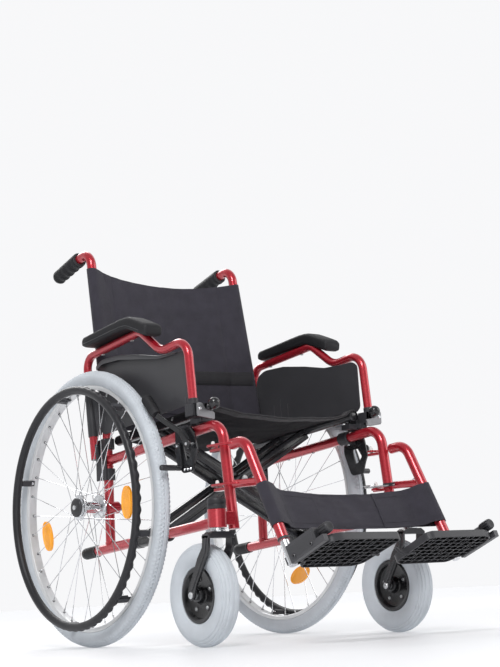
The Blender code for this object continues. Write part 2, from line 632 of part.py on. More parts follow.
# ---- cross brace and its bolt ------------------------------------------------------------------------
def brace_half(bar_offset):
    """One half of the scissor: sleeve on the right rail, two bars, and the left seat rail."""
    low, half_length = (-FRAME_X, 0.0), 0.060
    front = (SEAT_RAIL_X * BRACE_RISE / FRAME_X) + BRACE_RISE
    angle = math.atan2(BRACE_RISE, FRAME_X)
    sleeve = rod((low[0], BRACE_V - half_length, 0), (low[0], BRACE_V + half_length, 0), 0.0165, 16,
                 inner=TUBE + 0.0008)
    rail = rod((SEAT_RAIL_X, -0.385, SEAT_RAIL_W), (SEAT_RAIL_X, -0.034, SEAT_RAIL_W), SEAT_RAIL)
    length = math.hypot(SEAT_RAIL_X + FRAME_X, front) - 0.002
    parts = []
    for side in (-1, 1):
        middle = BRACE_V + side * bar_offset
        bar = block((0.0135, length), (middle - 0.0072, middle + 0.0072), (-0.0130, 0.0130), 0.002)
        parts.append(moved(bar, Matrix.Translation((*low, 0)) @ Matrix.Rotation(-angle, 4, "Y")))
    fuse(sleeve, rail, *parts)
    hole = rod((0, BRACE_V - 0.08, BRACE_RISE), (0, BRACE_V + 0.08, BRACE_RISE), 0.0040 + RUN)
    return cut(sleeve, hole)


def cross_brace():
    finish(moved(brace_half(0.0450), seat_frame), "cross_brace_a", "black_paint", RIGHT_FOLD)
    other = brace_half(0.0290)
    moved(other, Matrix.Scale(-1, 4, (1, 0, 0)))
    other.data.flip_normals()
    pivot = seat_frame @ Vector((0, BRACE_V, BRACE_RISE))
    finish(moved(other, seat_frame), "cross_brace_b", "black_paint", tuple(pivot))
    end = 0.0450 + 0.0072 + GAP
    profile = [(0.0085, -end - 0.005), (0.0085, -end), (0.0040, -end),
               (0.0040, end), (0.0085, end), (0.0085, end + 0.005)]
    bolt = turned(profile, (0, BRACE_V, BRACE_RISE), (0, 1, 0), 12)
    finish(moved(bolt, seat_frame), "cross_bolt", "silver", RIGHT_FOLD)


# ---- fabric ------------------------------------------------------------------------------------------
def fabric():
    top, sag = SEAT_RAIL_W + SEAT_RAIL + 2 * GAP, 0.022

    def seat(x, v):
        bow = max(0.0, 1 - (x / 0.186) ** 2)
        return Vector((x, -0.388 - 0.024 * bow + (0.352 + 0.024 * bow) * v, top - sag * bow))

    sling = sheet(spread(0.204, 0.186, 5), 4, seat, (0, 0, 0.0034))
    finish(moved(sling, seat_frame), "seat_sling", "black_fabric", RIGHT_FOLD)

    def back(x, v):
        bow = 1 - (x / 0.190) ** 2
        return Vector((x, 0.0095 + 0.0540 * v ** 0.8 + 0.020 * bow, 0.480 + (0.372 - 0.018 * bow) * v))

    sling = sheet(spread(0.190, 0.152, 4), 6, back, (0, -0.0036, 0))
    finish(sling, "back_sling", "black_fabric", RIGHT_FOLD)

    high, low = shoe_end - leg * 0.125, shoe_end - leg * 0.034
    behind = Vector((0, -leg.z, leg.y)) * 0.0125

    def calf(x, v):
        spot = high.lerp(low, v) + behind
        return Vector((x, spot.y + 0.014 * max(0.0, 1 - (x / 0.190) ** 2), spot.z))

    strap = sheet(spread(0.226, 0.190, 4), 1, calf, (0, 0.0036, 0))
    finish(strap, "calf_strap", "black_fabric", (-pin_low.x, pin_low.y, pin_low.z))


def spread(edge, inner, count):
    """Positions across the chair: an edge strip each side, and even steps between."""
    return [-edge] + [inner * (2 * k / count - 1) for k in range(count + 1)] + [edge]


side_frame()
back_cane()
push_grip()
rail_cap()
back_joint()
arm_socket()
rear_wheel()
caster()
armrest()
brake()
footrest()
cross_brace()
fabric()
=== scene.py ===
"""The looks of a folding manual wheelchair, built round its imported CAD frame.

Metres, +Z up, the chair faces -Y. Positions are worked out from the floor under the rear axle, as in
the CAD source, and moved back by AXLE_Y when a piece is made. Paired pieces are built for the left
side (+X) and mirrored.
"""

import math

import bmesh
import bpy
from mathutils import Matrix, Vector, noise


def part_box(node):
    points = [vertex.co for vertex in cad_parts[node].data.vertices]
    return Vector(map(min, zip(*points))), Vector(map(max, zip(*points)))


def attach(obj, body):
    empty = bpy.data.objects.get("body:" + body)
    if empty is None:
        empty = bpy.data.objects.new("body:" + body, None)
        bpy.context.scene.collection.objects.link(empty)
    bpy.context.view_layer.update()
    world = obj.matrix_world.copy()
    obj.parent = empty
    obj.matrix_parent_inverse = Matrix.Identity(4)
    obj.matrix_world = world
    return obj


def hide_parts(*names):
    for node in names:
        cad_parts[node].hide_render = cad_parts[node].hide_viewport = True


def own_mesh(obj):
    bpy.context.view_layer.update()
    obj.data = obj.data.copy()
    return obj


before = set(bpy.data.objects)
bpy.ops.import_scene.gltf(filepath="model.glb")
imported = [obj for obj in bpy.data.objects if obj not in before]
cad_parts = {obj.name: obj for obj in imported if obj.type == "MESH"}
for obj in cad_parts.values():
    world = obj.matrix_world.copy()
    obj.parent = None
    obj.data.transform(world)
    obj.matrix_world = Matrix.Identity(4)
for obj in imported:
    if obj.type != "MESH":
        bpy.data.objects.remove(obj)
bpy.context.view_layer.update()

# ---- dimensions shared with the CAD frame --------------------------------------------------------------
AXLE_Y = sum(corner.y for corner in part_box("rear_rim_l")) / 2
WHEEL_R, WHEEL_X = 0.3, 0.265
BEAD_R = 0.2685
HANDRIM_R, HANDRIM_X, HANDRIM_TUBE = 0.2553, 0.309, 0.0095
HANDRIM_FEET = (38, 106, 142, 191, 287, 344)
RIM_R = 0.258
CASTER_R, CASTER_X, CASTER_AXLE_Y, STEM_Y = 0.1, 0.257, -0.403, -0.457
FRAME_X, TUBE = 0.214, 0.011
TILT = math.radians(4.4)
RAIL_Z, RAIL_END, SEAT_TUBE_Z = 0.2115, 0.054, 0.404
FRONT_CORNER, FRONT_FOOT = (-0.429, 0.437), (-0.4535, 0.224)
BRACE_V, BRACE_RISE = -0.169, 0.118
SEAT_RAIL_X, SEAT_RAIL_W, SEAT_RAIL = 0.196, 0.232, 0.0105
ARM_X, ARM_TUBE, ARM_PIVOT = 0.239, 0.0095, (0.0165, 0.42)
FOOT_SLOPE = math.radians(21)
HINGE_X, HINGE_AT = 0.2105, (-0.6506, 0.1795)
HANGER = ((-0.4605, 0.3895), (-0.503, 0.393), (-0.607, 0.192))
HANDLE = Vector((0.205, 0.0655, 0.9025)), Vector((0.205, 0.211, 0.8675))
BRAKE_PIVOT, SHOE_PIVOT, SHOE_BAR = (-0.347, 0.402), (-0.303, 0.402), (-0.3085, 0.357)
KNOB_PIVOT, LATCH = (0.2225, 0.4715), (0.1955, -0.421)
SEAM_X = 0.1545
X_AXIS, Y_AXIS, Z_AXIS = Vector((1, 0, 0)), Vector((0, 1, 0)), Vector((0, 0, 1))


def upright_y(z):
    """Where the front upright's middle line stands at a height."""
    (y1, z1), (y0, z0) = FRONT_CORNER, FRONT_FOOT
    return y0 + (y1 - y0) * (z - z0) / (z1 - z0)


def rail_z(y):
    """Height of the bottom rail's middle line."""
    return RAIL_Z - math.tan(TILT) * y


def seat_tube_z(y):
    """Height of the seat tube's middle line."""
    return SEAT_TUBE_Z - math.tan(TILT) * y


def tilted(angle, origin):
    """A frame at an origin, turned down towards the back by an angle."""
    return Matrix.Translation(origin) @ Matrix.Rotation(-angle, 4, "X")


PIN_BACK, LUG_Z = 0.038, (0.3905, 0.3115)
pin_low = Vector((FRAME_X, upright_y(LUG_Z[1]) + PIN_BACK, LUG_Z[1]))
pin_high = Vector((FRAME_X, upright_y(LUG_Z[0]) + PIN_BACK, LUG_Z[0]))
pin_axis = (pin_high - pin_low).normalized()
bend, shoe_end = Vector((FRAME_X, *HANGER[1])), Vector((FRAME_X, *HANGER[2]))
leg = (shoe_end - bend).normalized()
seat_frame = tilted(TILT, (0, 0, RAIL_Z))
foot_frame = tilted(FOOT_SLOPE, (0, *HINGE_AT))


# ---- materials -----------------------------------------------------------------------------------------
def node(tree, kind, settings=None, **inputs):
    """A shader node with its properties and inputs, each a value or an output; i0 and i1 go by number."""
    made = tree.nodes.new(kind)
    for key, value in (settings or {}).items():
        setattr(made, key, value)
    for key, value in inputs.items():
        socket = made.inputs[{"i0": 0, "i1": 1}.get(key, key.replace("_", " "))]
        if isinstance(value, bpy.types.NodeSocket):
            tree.links.new(value, socket)
        else:
            socket.default_value = value
    return made


def ramp(tree, factor, *stops):
    """A colour ramp over (position, grey or colour) stops."""
    made = node(tree, "ShaderNodeValToRGB", None, Fac=factor)
    line = made.color_ramp
    while len(line.elements) < len(stops):
        line.elements.new(0.5)
    for element, (position, colour) in zip(line.elements, stops):
        element.position = position
        element.color = (*([colour] * 3 if isinstance(colour, (int, float)) else colour), 1.0)
    return made.outputs["Color"]


def mixed(tree, factor, first, second):
    """A colour between two, each a value or an output."""
    made = node(tree, "ShaderNodeMix", {"data_type": "RGBA", "blend_type": "MIX"}, i0=factor)
    for socket, value in ((made.inputs[6], first), (made.inputs[7], second)):
        if isinstance(value, bpy.types.NodeSocket):
            tree.links.new(value, socket)
        else:
            socket.default_value = (*value, 1.0)
    return made.outputs[2]


def mapped(tree, value, source, target, way="LINEAR"):
    """A value carried over from one range to another."""
    made = node(tree, "ShaderNodeMapRange", {"interpolation_type": way}, Value=value)
    for key, end in zip(("From Min", "From Max", "To Min", "To Max"), (*source, *target)):
        made.inputs[key].default_value = end
    return made.outputs["Result"]


def bump(tree, height, depth, under=None):
    """A normal raised by a height, on top of another normal where there is one."""
    normal = {"Normal": under} if under else {}
    return node(tree, "ShaderNodeBump", None, Height=height, Distance=depth, **normal).outputs["Normal"]


def woven(tree, place, pitch):
    """The height of a plain weave: two crossed rows of threads, a pitch apart."""
    threads = []
    for direction in "XY":
        wave = node(tree, "ShaderNodeTexWave", {"bands_direction": direction, "wave_profile": "SIN"},
                    Vector=place, Scale=math.pi / (10 * pitch), Distortion=0.6)
        wave.inputs["Detail Scale"].default_value = 60.0
        threads.append(wave.outputs["Fac"])
    return node(tree, "ShaderNodeMath", {"operation": "MULTIPLY"}, i0=threads[0], i1=threads[1]).outputs[0]


def surface(name, colour, rough, metal=0.0, vary=0.15, blotch=14.0, grain=(), edge_highlight=None, smudge=0.06,
            uv=False, weave=None, prism=None, **sockets):
    """A material with colour and roughness that drift, bumps for its grain, and a painted highlight on its
    edges.
    """
    made = bpy.data.materials.new(name)
    made.use_nodes = True
    tree = made.node_tree
    shader = tree.nodes["Principled BSDF"]
    place = node(tree, "ShaderNodeTexCoord").outputs["UV" if uv else "Object"]
    drift = node(tree, "ShaderNodeTexNoise", None, Vector=place, Scale=blotch, Detail=5.0,
                 Roughness=0.6).outputs["Fac"]
    dark = [c * (1 - vary) for c in colour]
    light = [min(1.0, c * (1 + vary)) for c in colour]
    tint = ramp(tree, drift, (0.3, dark), (0.7, light))
    # Edges found by pointiness are mixed towards a lighter colour: a painted highlight along convex edges.
    if edge_highlight:
        edge = node(tree, "ShaderNodeNewGeometry").outputs["Pointiness"]
        tint = mixed(tree, ramp(tree, edge, (0.51, 0.0), (0.6, edge_highlight[1])), tint, edge_highlight[0])
    normal = None
    for scale, depth in grain:
        bumps = node(tree, "ShaderNodeTexNoise", None, Vector=place, Scale=scale, Detail=3.0)
        normal = bump(tree, bumps.outputs["Fac"], depth, normal)
    if weave:
        pitch, depth = weave
        cross = woven(tree, place, pitch)
        normal = bump(tree, cross, depth, normal)
        tint = mixed(tree, cross, mixed(tree, 0.35, tint, (0, 0, 0)), tint)
    if prism:
        scale, depth = prism
        cells = node(tree, "ShaderNodeTexVoronoi", {"distance": "CHEBYCHEV"}, Vector=place, Scale=scale,
                     Randomness=0.0).outputs["Distance"]
        normal = bump(tree, cells, depth)
        tint = mixed(tree, ramp(tree, cells, (0.0, 0.0), (0.6, 0.55)), tint, (1.0, 0.55, 0.05))
    gloss = mapped(tree, drift, (0.3, 0.7), (max(0.02, rough - smudge), min(1.0, rough + smudge)))
    tree.links.new(tint, shader.inputs["Base Color"])
    tree.links.new(gloss, shader.inputs["Roughness"])
    if normal:
        tree.links.new(normal, shader.inputs["Normal"])
    shader.inputs["Metallic"].default_value = metal
    for key, value in sockets.items():
        shader.inputs[key.replace("_", " ")].default_value = value
    return made


# The edge colour and strength given to surface below paint a highlight along convex edges.
RED = surface("cherry_red_paint", (0.44, 0.008, 0.022), 0.28, 0.45, vary=0.1, blotch=900.0,
              grain=((420.0, 0.00002),), edge_highlight=((0.72, 0.1, 0.12), 0.35), Coat_Weight=0.8, Coat_Roughness=0.07)
BLACK = surface("black_paint", (0.006, 0.006, 0.007), 0.24, 0.1, grain=((300.0, 0.00002),),
                edge_highlight=((0.08, 0.08, 0.09), 0.5), Coat_Weight=0.25, Coat_Roughness=0.08)
NYLON = surface("black_nylon", (0.01, 0.01, 0.012), 0.42, grain=((1600.0, 0.00006),),
                edge_highlight=((0.09, 0.09, 0.1), 0.6), Specular_IOR_Level=0.35)
GUARD = surface("grey_black_plastic", (0.02, 0.02, 0.023), 0.38, grain=((1200.0, 0.00005),),
                edge_highlight=((0.12, 0.12, 0.13), 0.6), Specular_IOR_Level=0.4)
FOAM = surface("black_foam", (0.014, 0.014, 0.016), 0.6, grain=((900.0, 0.00012), (2600.0, 0.00006)),
               edge_highlight=((0.07, 0.07, 0.075), 0.6), Specular_IOR_Level=0.25)
RIM = surface("white_silver_rim", (0.74, 0.75, 0.76), 0.34, 0.35, vary=0.05, grain=((700.0, 0.00002),))
CHROME = surface("bright_steel", (0.78, 0.79, 0.81), 0.2, 1.0, vary=0.08, grain=((500.0, 0.00001),))
ZINC = surface("zinc_steel", (0.6, 0.61, 0.62), 0.36, 0.9, vary=0.14, grain=((350.0, 0.00003),))
TYRE = surface("blue_grey_tyre", (0.55, 0.585, 0.625), 0.58, vary=0.07, blotch=22.0,
               grain=((1500.0, 0.00005),), edge_highlight=((0.66, 0.71, 0.76), 0.5), smudge=0.05)
WOVEN = {"vary": 0.16, "blotch": 30.0, "uv": True, "weave": (0.001, 0.00022), "Sheen_Roughness": 0.45}
CLOTH = surface("woven_nylon", (0.056, 0.052, 0.068), 0.8, Sheen_Weight=0.1, Specular_IOR_Level=0.2, **WOVEN)
# The seat's copy of the woven nylon is far darker than the back's: painted shade under the seat.
SHADED_SEAT_CLOTH = surface("woven_nylon_seat_painted_shade", (0.01, 0.009, 0.012), 0.8, Sheen_Weight=0.03, Specular_IOR_Level=0.1,
                     **WOVEN)
BINDING = surface("nylon_binding", (0.012, 0.011, 0.015), 0.7, vary=0.14, blotch=60.0, uv=True,
                  weave=(0.0016, 0.00028), Sheen_Weight=0.1, Sheen_Roughness=0.4)
THREAD = surface("black_thread", (0.03, 0.028, 0.035), 0.6, vary=0.2, grain=((2500.0, 0.0001),))
# Emission makes the reflectors glow: painted light for the shine they throw back towards the lamps.
AMBER = surface("amber_reflector", (0.98, 0.33, 0.004), 0.2, vary=0.06, uv=True, prism=(420.0, 0.0012),
                Coat_Weight=0.6, Coat_Roughness=0.05, Emission_Color=(1.0, 0.36, 0.004, 1.0),
                Emission_Strength=0.22)
STEEL = surface("grey_steel_plate", (0.22, 0.22, 0.23), 0.34, 0.7, vary=0.1, grain=((420.0, 0.00003),),
                edge_highlight=((0.45, 0.45, 0.47), 0.5))
WHITE = surface("white_plastic", (0.8, 0.8, 0.79), 0.38, vary=0.05, grain=((900.0, 0.00003),))
# A near-black copy of the footplate's plastic for its skin and ribs: painted shade in the lattice's recesses.
RECESS_SHADE_PLASTIC = surface("plastic_painted_recess_shade", (0.003, 0.003, 0.0035), 0.6, Specular_IOR_Level=0.15)
FLOOR = surface("pale_floor", (0.62, 0.625, 0.64), 0.45, vary=0.004, blotch=2.0, smudge=0.0,
                Emission_Color=(0.97, 0.98, 1.0, 1.0))


# ---- modelling tools -----------------------------------------------------------------------------------
def loft(rings, loop=False):
    """Points, faces and texture places (metres) of a skin through rings of points."""
    rings = [[Vector(p) for p in ring] for ring in rings]
    n = len(rings[0])
    girth = max(sum((a - b).length for a, b in zip(ring, ring[1:] + ring[:1])) for ring in rings)
    along = [0.0]
    for lower, upper in zip(rings, rings[1:] + rings[:1]):
        along.append(along[-1] + (upper[0] - lower[0]).length)
    faces, places = [], []
    for i in range(len(rings) if loop else len(rings) - 1):
        j = (i + 1) % len(rings)
        for k in range(n):
            m = (k + 1) % n
            faces.append((i * n + k, i * n + m, j * n + m, j * n + k))
            u, w = girth * k / n, girth * (k + 1) / n
            places.append(((u, along[i]), (w, along[i]), (w, along[i + 1]), (u, along[i + 1])))
    if not loop:
        for first in (0, (len(rings) - 1) * n):
            faces.append(tuple(range(first, first + n)))
            ring = rings[first // n]
            places.append(tuple((p.x + p.y, p.z - p.y) for p in ring))
    return [p for ring in rings for p in ring], faces, places


def across(axis):
    """An axis of length one and two directions square to it."""
    axis = Vector(axis).normalized()
    rough = Vector((0, 0, -1)) if abs(axis.z) < 0.9 else Vector((1, 0, 0))
    first = (rough - axis * rough.dot(axis)).normalized()
    return axis, first, axis.cross(first)


def turned(profile, start, axis, sides=48, ring=False, relief=None):
    """A turned solid from (radius, distance) pairs; relief(step, side) adds to a point's radius."""
    axis, first, second = across(axis)
    rings = []
    for i, (radius, distance) in enumerate(profile):
        middle = Vector(start) + axis * distance
        line = []
        for k in range(sides):
            a = 2 * math.pi * k / sides
            r = radius + (relief(i, k) if relief else 0.0)
            line.append(middle + (first * math.cos(a) + second * math.sin(a)) * r)
        rings.append(line)
    return loft(rings, loop=ring)


def rod(start, end, radius, sides=20, inner=0.0, lip=0.0):
    """A round bar or sleeve between two points, its outer edges broken by lip."""
    start, end = Vector(start), Vector(end)
    length = (end - start).length
    outer = [(radius - lip, 0), (radius, lip), (radius, length - lip), (radius - lip, length)]
    if not lip:
        outer = [(radius, 0), (radius, length)]
    if inner:
        return turned([(inner, 0), *outer, (inner, length)], start, end - start, sides, ring=True)
    return turned(outer, start, end - start, sides)


def rounded(points, radius, steps=10):
    """A path with its corners rounded, by one radius or by a tuple with one for each corner."""
    points = [Vector(p) for p in points]
    path = [points[0]]
    radii = radius if isinstance(radius, tuple) else (radius,) * (len(points) - 2)
    for before, corner, after, r in zip(points, points[1:], points[2:], radii):
        back, ahead = (before - corner).normalized(), (after - corner).normalized()
        angle = back.angle(ahead)
        centre = corner + (back + ahead).normalized() * (r / math.sin(angle / 2))
        reach = r / math.tan(angle / 2)
        first, last = [(corner + way * reach - centre).normalized() for way in (back, ahead)]
        path += [centre + first.slerp(last, k / steps) * r for k in range(steps + 1)]
    return path + [points[-1]]


def rounded_outline(points, radius, steps=4):
    """A closed outline with its corners turned; a corner too short for the radius turns tighter."""
    made, count = [], len(points)
    for k in range(count):
        before, corner, after = (Vector(points[(k + d) % count]) for d in (-1, 0, 1))
        reach = min(radius, (before - corner).length * 0.4, (after - corner).length * 0.4)
        start = corner + (before - corner).normalized() * reach
        end = corner + (after - corner).normalized() * reach
        for n in range(steps + 1):
            t = n / steps
            made.append(tuple(start * (1 - t) ** 2 + corner * (2 * t * (1 - t)) + end * t ** 2))
    return made


def frames(path):
    """Point, tangent and two square directions at each step of a path, carried without twist."""
    path = [Vector(p) for p in path]
    normal, made = Vector((1, 0, 0)), []
    for k, point in enumerate(path):
        tangent = (path[min(k + 1, len(path) - 1)] - path[max(k - 1, 0)]).normalized()
        if abs(tangent.dot(normal)) > 0.95:
            normal = Vector((0, 0, 1))
        normal = (normal - tangent * normal.dot(tangent)).normalized()
        made.append((point, tangent, normal, tangent.cross(normal)))
    return made


def swept(path, radius, sides=24):
    """A round tube along a path."""
    turn = [2 * math.pi * n / sides for n in range(sides)]
    return loft([[point + normal * (math.cos(a) * radius) + side * (math.sin(a) * radius) for a in turn]
                 for point, _, normal, side in frames(path)])


def slab(outline, low, high, plane="yz"):
    """A flat plate, its outline drawn in one plane, between two places on the axis square to it."""
    order = {"yz": (2, 0, 1), "xz": (0, 2, 1), "xy": (0, 1, 2)}[plane]
    return loft([[Vector([(a, b, height)[n] for n in order]) for a, b in outline] for height in (low, high)])


def block(x, y, z):
    """A box between two places on each axis."""
    return slab([(x[0], y[0]), (x[1], y[0]), (x[1], y[1]), (x[0], y[1])], z[0], z[1], "xy")


def band(sections, thickness):
    """Cloth of a thickness through lines of points, one after another down its length."""
    count, rows = len(sections[0]), len(sections)
    outer, inner, places = [], [], []
    for i, line in enumerate(sections):
        run = 0.0
        for k, point in enumerate(line):
            tangent = line[min(k + 1, count - 1)] - line[max(k - 1, 0)]
            down = sections[min(i + 1, rows - 1)][k] - sections[max(i - 1, 0)][k]
            normal = tangent.cross(down).normalized() * (thickness / 2)
            outer.append(point + normal)
            inner.append(point - normal)
            run += (point - line[k - 1]).length if k else 0.0
            places.append((run, i * (sections[-1][0] - sections[0][0]).length / (rows - 1)))
    points = outer + inner
    total = len(outer)
    faces = []
    for i in range(rows - 1):
        for k in range(count - 1):
            a, b, c, d = i * count + k, i * count + k + 1, (i + 1) * count + k + 1, (i + 1) * count + k
            faces += [(a, b, c, d), (total + d, total + c, total + b, total + a)]
    rim = list(range(count)) + [i * count + count - 1 for i in range(1, rows)]
    rim += [(rows - 1) * count + k for k in range(count - 2, -1, -1)]
    rim += [i * count for i in range(rows - 2, 0, -1)]
    for a, b in zip(rim, rim[1:] + rim[:1]):
        faces.append((b, a, total + a, total + b))
    return points, faces, [tuple(places[n % total] for n in face) for face in faces]


def stitches(path, out, length=0.003, gap=0.0014, width=0.0008):
    """Separate stitches along a path, each a short raised thread on the side that out points to."""
    path = [Vector(p) for p in path]
    parts, spare, out = [], 0.0, Vector(out).normalized()
    for start, end in zip(path, path[1:]):
        run, at = end - start, spare
        way = run.normalized()
        side = way.cross(out).normalized() * (width / 2)
        while at < run.length:
            a = start + way * at
            b = start + way * min(at + length, run.length + length * 0.4)
            lift = out * (width * 0.7)
            rings = []
            for spot, narrow, high in ((a, 0.4, 0.3), ((a + b) / 2, 0.6, 1.0), (b, 0.4, 0.3)):
                crown = lift * high
                rings.append([spot - side, spot + side, spot + side * narrow + crown,
                              spot - side * narrow + crown])
            parts.append(loft(rings))
            at += length + gap
        spare = at - run.length
    return parts


def placed(part, matrix):
    """A part moved by a matrix."""
    points, faces, places = part
    return [matrix @ Vector(p) for p in points], faces, places


def piece(name, body, paint, parts, *nodes, sign=1, bevel=0.0, smooth=35):
    """One piece from its parts: named, painted, riding on a body, standing for CAD nodes."""
    points, faces, places = [], [], []
    for part_points, part_faces, part_places in parts:
        shift = len(points)
        points += [(p[0] * sign, p[1] + AXLE_Y, p[2]) for p in part_points]
        faces += [tuple(n + shift for n in face) for face in part_faces]
        places += part_places
    mesh = bpy.data.meshes.new(name)
    mesh.from_pydata(points, [], faces)
    layer = mesh.uv_layers.new(name="metres")
    layer.data.foreach_set("uv", [value for face in places for place in face for value in place])
    shape = bmesh.new()
    shape.from_mesh(mesh)
    bmesh.ops.recalc_face_normals(shape, faces=shape.faces)
    shape.to_mesh(mesh)
    shape.free()
    mesh.shade_smooth()
    mesh.set_sharp_from_angle(angle=math.radians(smooth))
    mesh.materials.append(paint)
    made = bpy.data.objects.new(name, mesh)
    bpy.context.scene.collection.objects.link(made)
    if bevel:
        step = made.modifiers.new("edges", "BEVEL")
        step.width, step.segments, step.limit_method = bevel, 2, "ANGLE"
        step.angle_limit = math.radians(28)
        step.harden_normals = True
    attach(made, body)
    if nodes:
        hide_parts(*nodes)
    return made


def both(name, body, paint, parts, *nodes, **options):
    """The piece on the left and its mirror image on the right."""
    return [piece(f"{name}_{side}", f"{body}_{side}", paint, parts, *[f"{n}_{side}" for n in nodes],
                  sign=sign, **options) for side, sign in (("l", 1), ("r", -1))]


def in_plane(x, points):
    """Points of a side view, all at one x."""
    return [(x, y, z) for y, z in points]


def in_height(z, points):
    """Points of a view from above, all at one height."""
    return [(x, y, z) for x, y in points]


def screw_head(at, axis, radius=0.0045, height=0.0025):
    """A domed hexagon-socket screw head standing on a surface."""
    profile = [(radius, 0), (radius, height * 0.45), (radius * 0.72, height), (radius * 0.42, height),
               (radius * 0.4, height * 0.35), (0.0001, height * 0.35)]
    return turned(profile, at, axis, 12)


def weld(centre, axis, radius, bead=0.0016, sides=36):
    """The rippled bead of a weld round a tube where it meets another."""
    profile = [(radius - 0.0002, -bead), (radius + bead * 0.8, -bead * 0.5), (radius + bead, bead * 0.2),
               (radius + bead * 0.3, bead * 1.3), (radius - 0.0002, bead * 1.7)]
    return turned(profile, centre, axis, sides, ring=True, relief=lambda i,
                  k: 0.0003 * math.sin(k * 2 * math.pi / 4) if 0 < i < 4 else 0.0)


# ---- side frame, back and handle -----------------------------------------------------------------------
def side_frame():
    """Welded side frame with its lugs and hanger pins, the axle's end and the small screws."""
    seat_tube = rounded(in_plane(FRAME_X, [(0.006, seat_tube_z(0.006)), FRONT_CORNER, FRONT_FOOT]), 0.038)
    tilt_way = Vector((0, math.cos(TILT), -math.sin(TILT)))
    parts = [swept(seat_tube, TUBE),
             swept(in_plane(FRAME_X, [(RAIL_END, rail_z(RAIL_END)), (-0.449, rail_z(-0.449))]), TUBE),
             rod((FRAME_X, 0.002, rail_z(0)), (FRAME_X, 0.002, 0.426), TUBE - 0.0002, 24),
             rod((CASTER_X, STEM_Y, 0.2265), (CASTER_X, STEM_Y, 0.2625), 0.0185, 40, inner=0.0098,
                 lip=0.0008), rod((0.1935, 0, WHEEL_R), (0.2285, 0, WHEEL_R), 0.0135, 32, lip=0.001),
             weld((FRAME_X, 0.002, rail_z(0) + TUBE), Z_AXIS, TUBE - 0.0002),
             weld((FRAME_X, 0.002, seat_tube_z(0.002) - TUBE - 0.002), Z_AXIS, TUBE - 0.0002),
             weld((FRAME_X + TUBE - 0.0005, 0, WHEEL_R), -X_AXIS, 0.0135, 0.0012),
             weld((FRAME_X, -0.44, rail_z(-0.44)), -tilt_way, TUBE)]
    both("frame_tubes", "side", RED, parts, "side_frame")
    plates = [block((FRAME_X + 0.004, CASTER_X - 0.015), (STEM_Y - 0.008, STEM_Y + 0.008), (0.232, 0.2575))]
    for pin in (pin_low, pin_high):
        under = pin.z - 0.0045
        back, front = pin.y + 0.008, upright_y(under)
        outline = [(FRAME_X - 0.008, front), (FRAME_X + 0.008, front), (FRAME_X + 0.008, back - 0.005),
                   (FRAME_X + 0.003, back), (FRAME_X - 0.003, back), (FRAME_X - 0.008, back - 0.005)]
        plates.append(slab(outline, under - 0.006, under, "xy"))
    plates.append(block((LATCH[0] - 0.006, FRAME_X - 0.004), (LATCH[1] - 0.007, LATCH[1] + 0.006),
                        (0.3025, 0.3075)))
    both("frame_lugs", "side", RED, plates, bevel=0.001)
    pins = [turned([(0.0038, 0), (0.0038, 0.0165), (0.003, 0.019), (0.0012, 0.02)], pin - pin_axis * 0.008,
                   pin_axis, 24) for pin in (pin_low, pin_high)]
    both("hanger_pins", "side", WHITE, pins)
    metal = [turned([(0.006, 0), (0.006, 0.0755), (0.005, 0.079)], (0.228, 0, WHEEL_R), X_AXIS, 28),
             screw_head((*LATCH, 0.315), Z_AXIS, 0.0026, 0.0016),
             screw_head((FRAME_X, -0.2, seat_tube_z(-0.2) - TUBE + 0.0003), -Z_AXIS, 0.004, 0.0022),
             screw_head((FRAME_X, -0.11, seat_tube_z(-0.11) - TUBE + 0.0003), -Z_AXIS, 0.004, 0.0022)]
    both("frame_axle_and_screws", "side", CHROME, metal)
    collar = [rod((0.1895, 0, WHEEL_R), (0.1935, 0, WHEEL_R), 0.0105, 6),
              turned([(0.0122, 0), (0.0128, 0.0012), (0.0115, 0.0022)], (0.1932, 0, WHEEL_R), X_AXIS, 28)]
    both("axle_nut", "side", NYLON, collar)


def back_cane():
    """Back cane, bent back into the push handle; returns the middle line of its upright."""
    low = rounded([(FRAME_X, 0.002, 0.4265), (FRAME_X, 0.002, 0.472), (0.211, 0.0075, 0.545),
                   (0.205, 0.062, 0.862)], 0.12, 6)
    top = rounded([low[-1], HANDLE[0], HANDLE[1]], 0.034, 12)
    both("back_cane_tube", "side", RED, [swept(low + top[1:], TUBE, 28)], "back_cane")
    return low


def push_grip():
    """Rubber grip with four finger hollows on its underside."""
    start, axis = HANDLE[0].lerp(HANDLE[1], 0.34), HANDLE[1] - HANDLE[0]
    length, bore, sides, steps = 0.106, TUBE + 0.0007, 40, 64
    _, first, _ = across(axis)
    profile = [(bore, 0.1005), (bore, 0.0), (0.016, 0.0), (0.0172, 0.001)]
    profile += [(0.0172 - 0.0006 * k / steps, 0.003 + 0.096 * k / steps) for k in range(steps + 1)]
    profile += [(0.0155, length - 0.0045), (0.0135, length - 0.0012), (0.0105, length)]

    def fingers(i, k):
        if not 4 < i < 4 + steps:
            return 0.0
        under = max(0.0, math.cos(2 * math.pi * k / sides))
        wave = 0.5 - 0.5 * math.cos(2 * math.pi * (profile[i][1] - 0.01) / 0.0225)
        return -0.0024 * wave * under ** 0.7 + 0.0004

    both("push_grip_rubber", "side", FOAM, [turned(profile, start, axis, sides, relief=fingers)], "push_grip")


def rail_cap():
    """Ribbed rubber cap on the rear end of the bottom rail."""
    start = Vector((FRAME_X, RAIL_END + 0.0006, rail_z(RAIL_END + 0.0006)))
    back = Vector((0, math.cos(TILT), -math.sin(TILT)))
    ribs = [(0.0112, 0), (0.013, 0.001)]
    for k in range(9):
        at = 0.005 + 0.0044 * k
        ribs += [(0.013, at), (0.0124, at + 0.0008), (0.0124, at + 0.0016), (0.013, at + 0.0024)]
    ribs += [(0.013, 0.05), (0.0122, 0.0528), (0.0108, 0.0538), (0.007, 0.054)]
    both("rail_end_cap", "side", NYLON, [turned(ribs, start, back, 32)], "rail_cap")


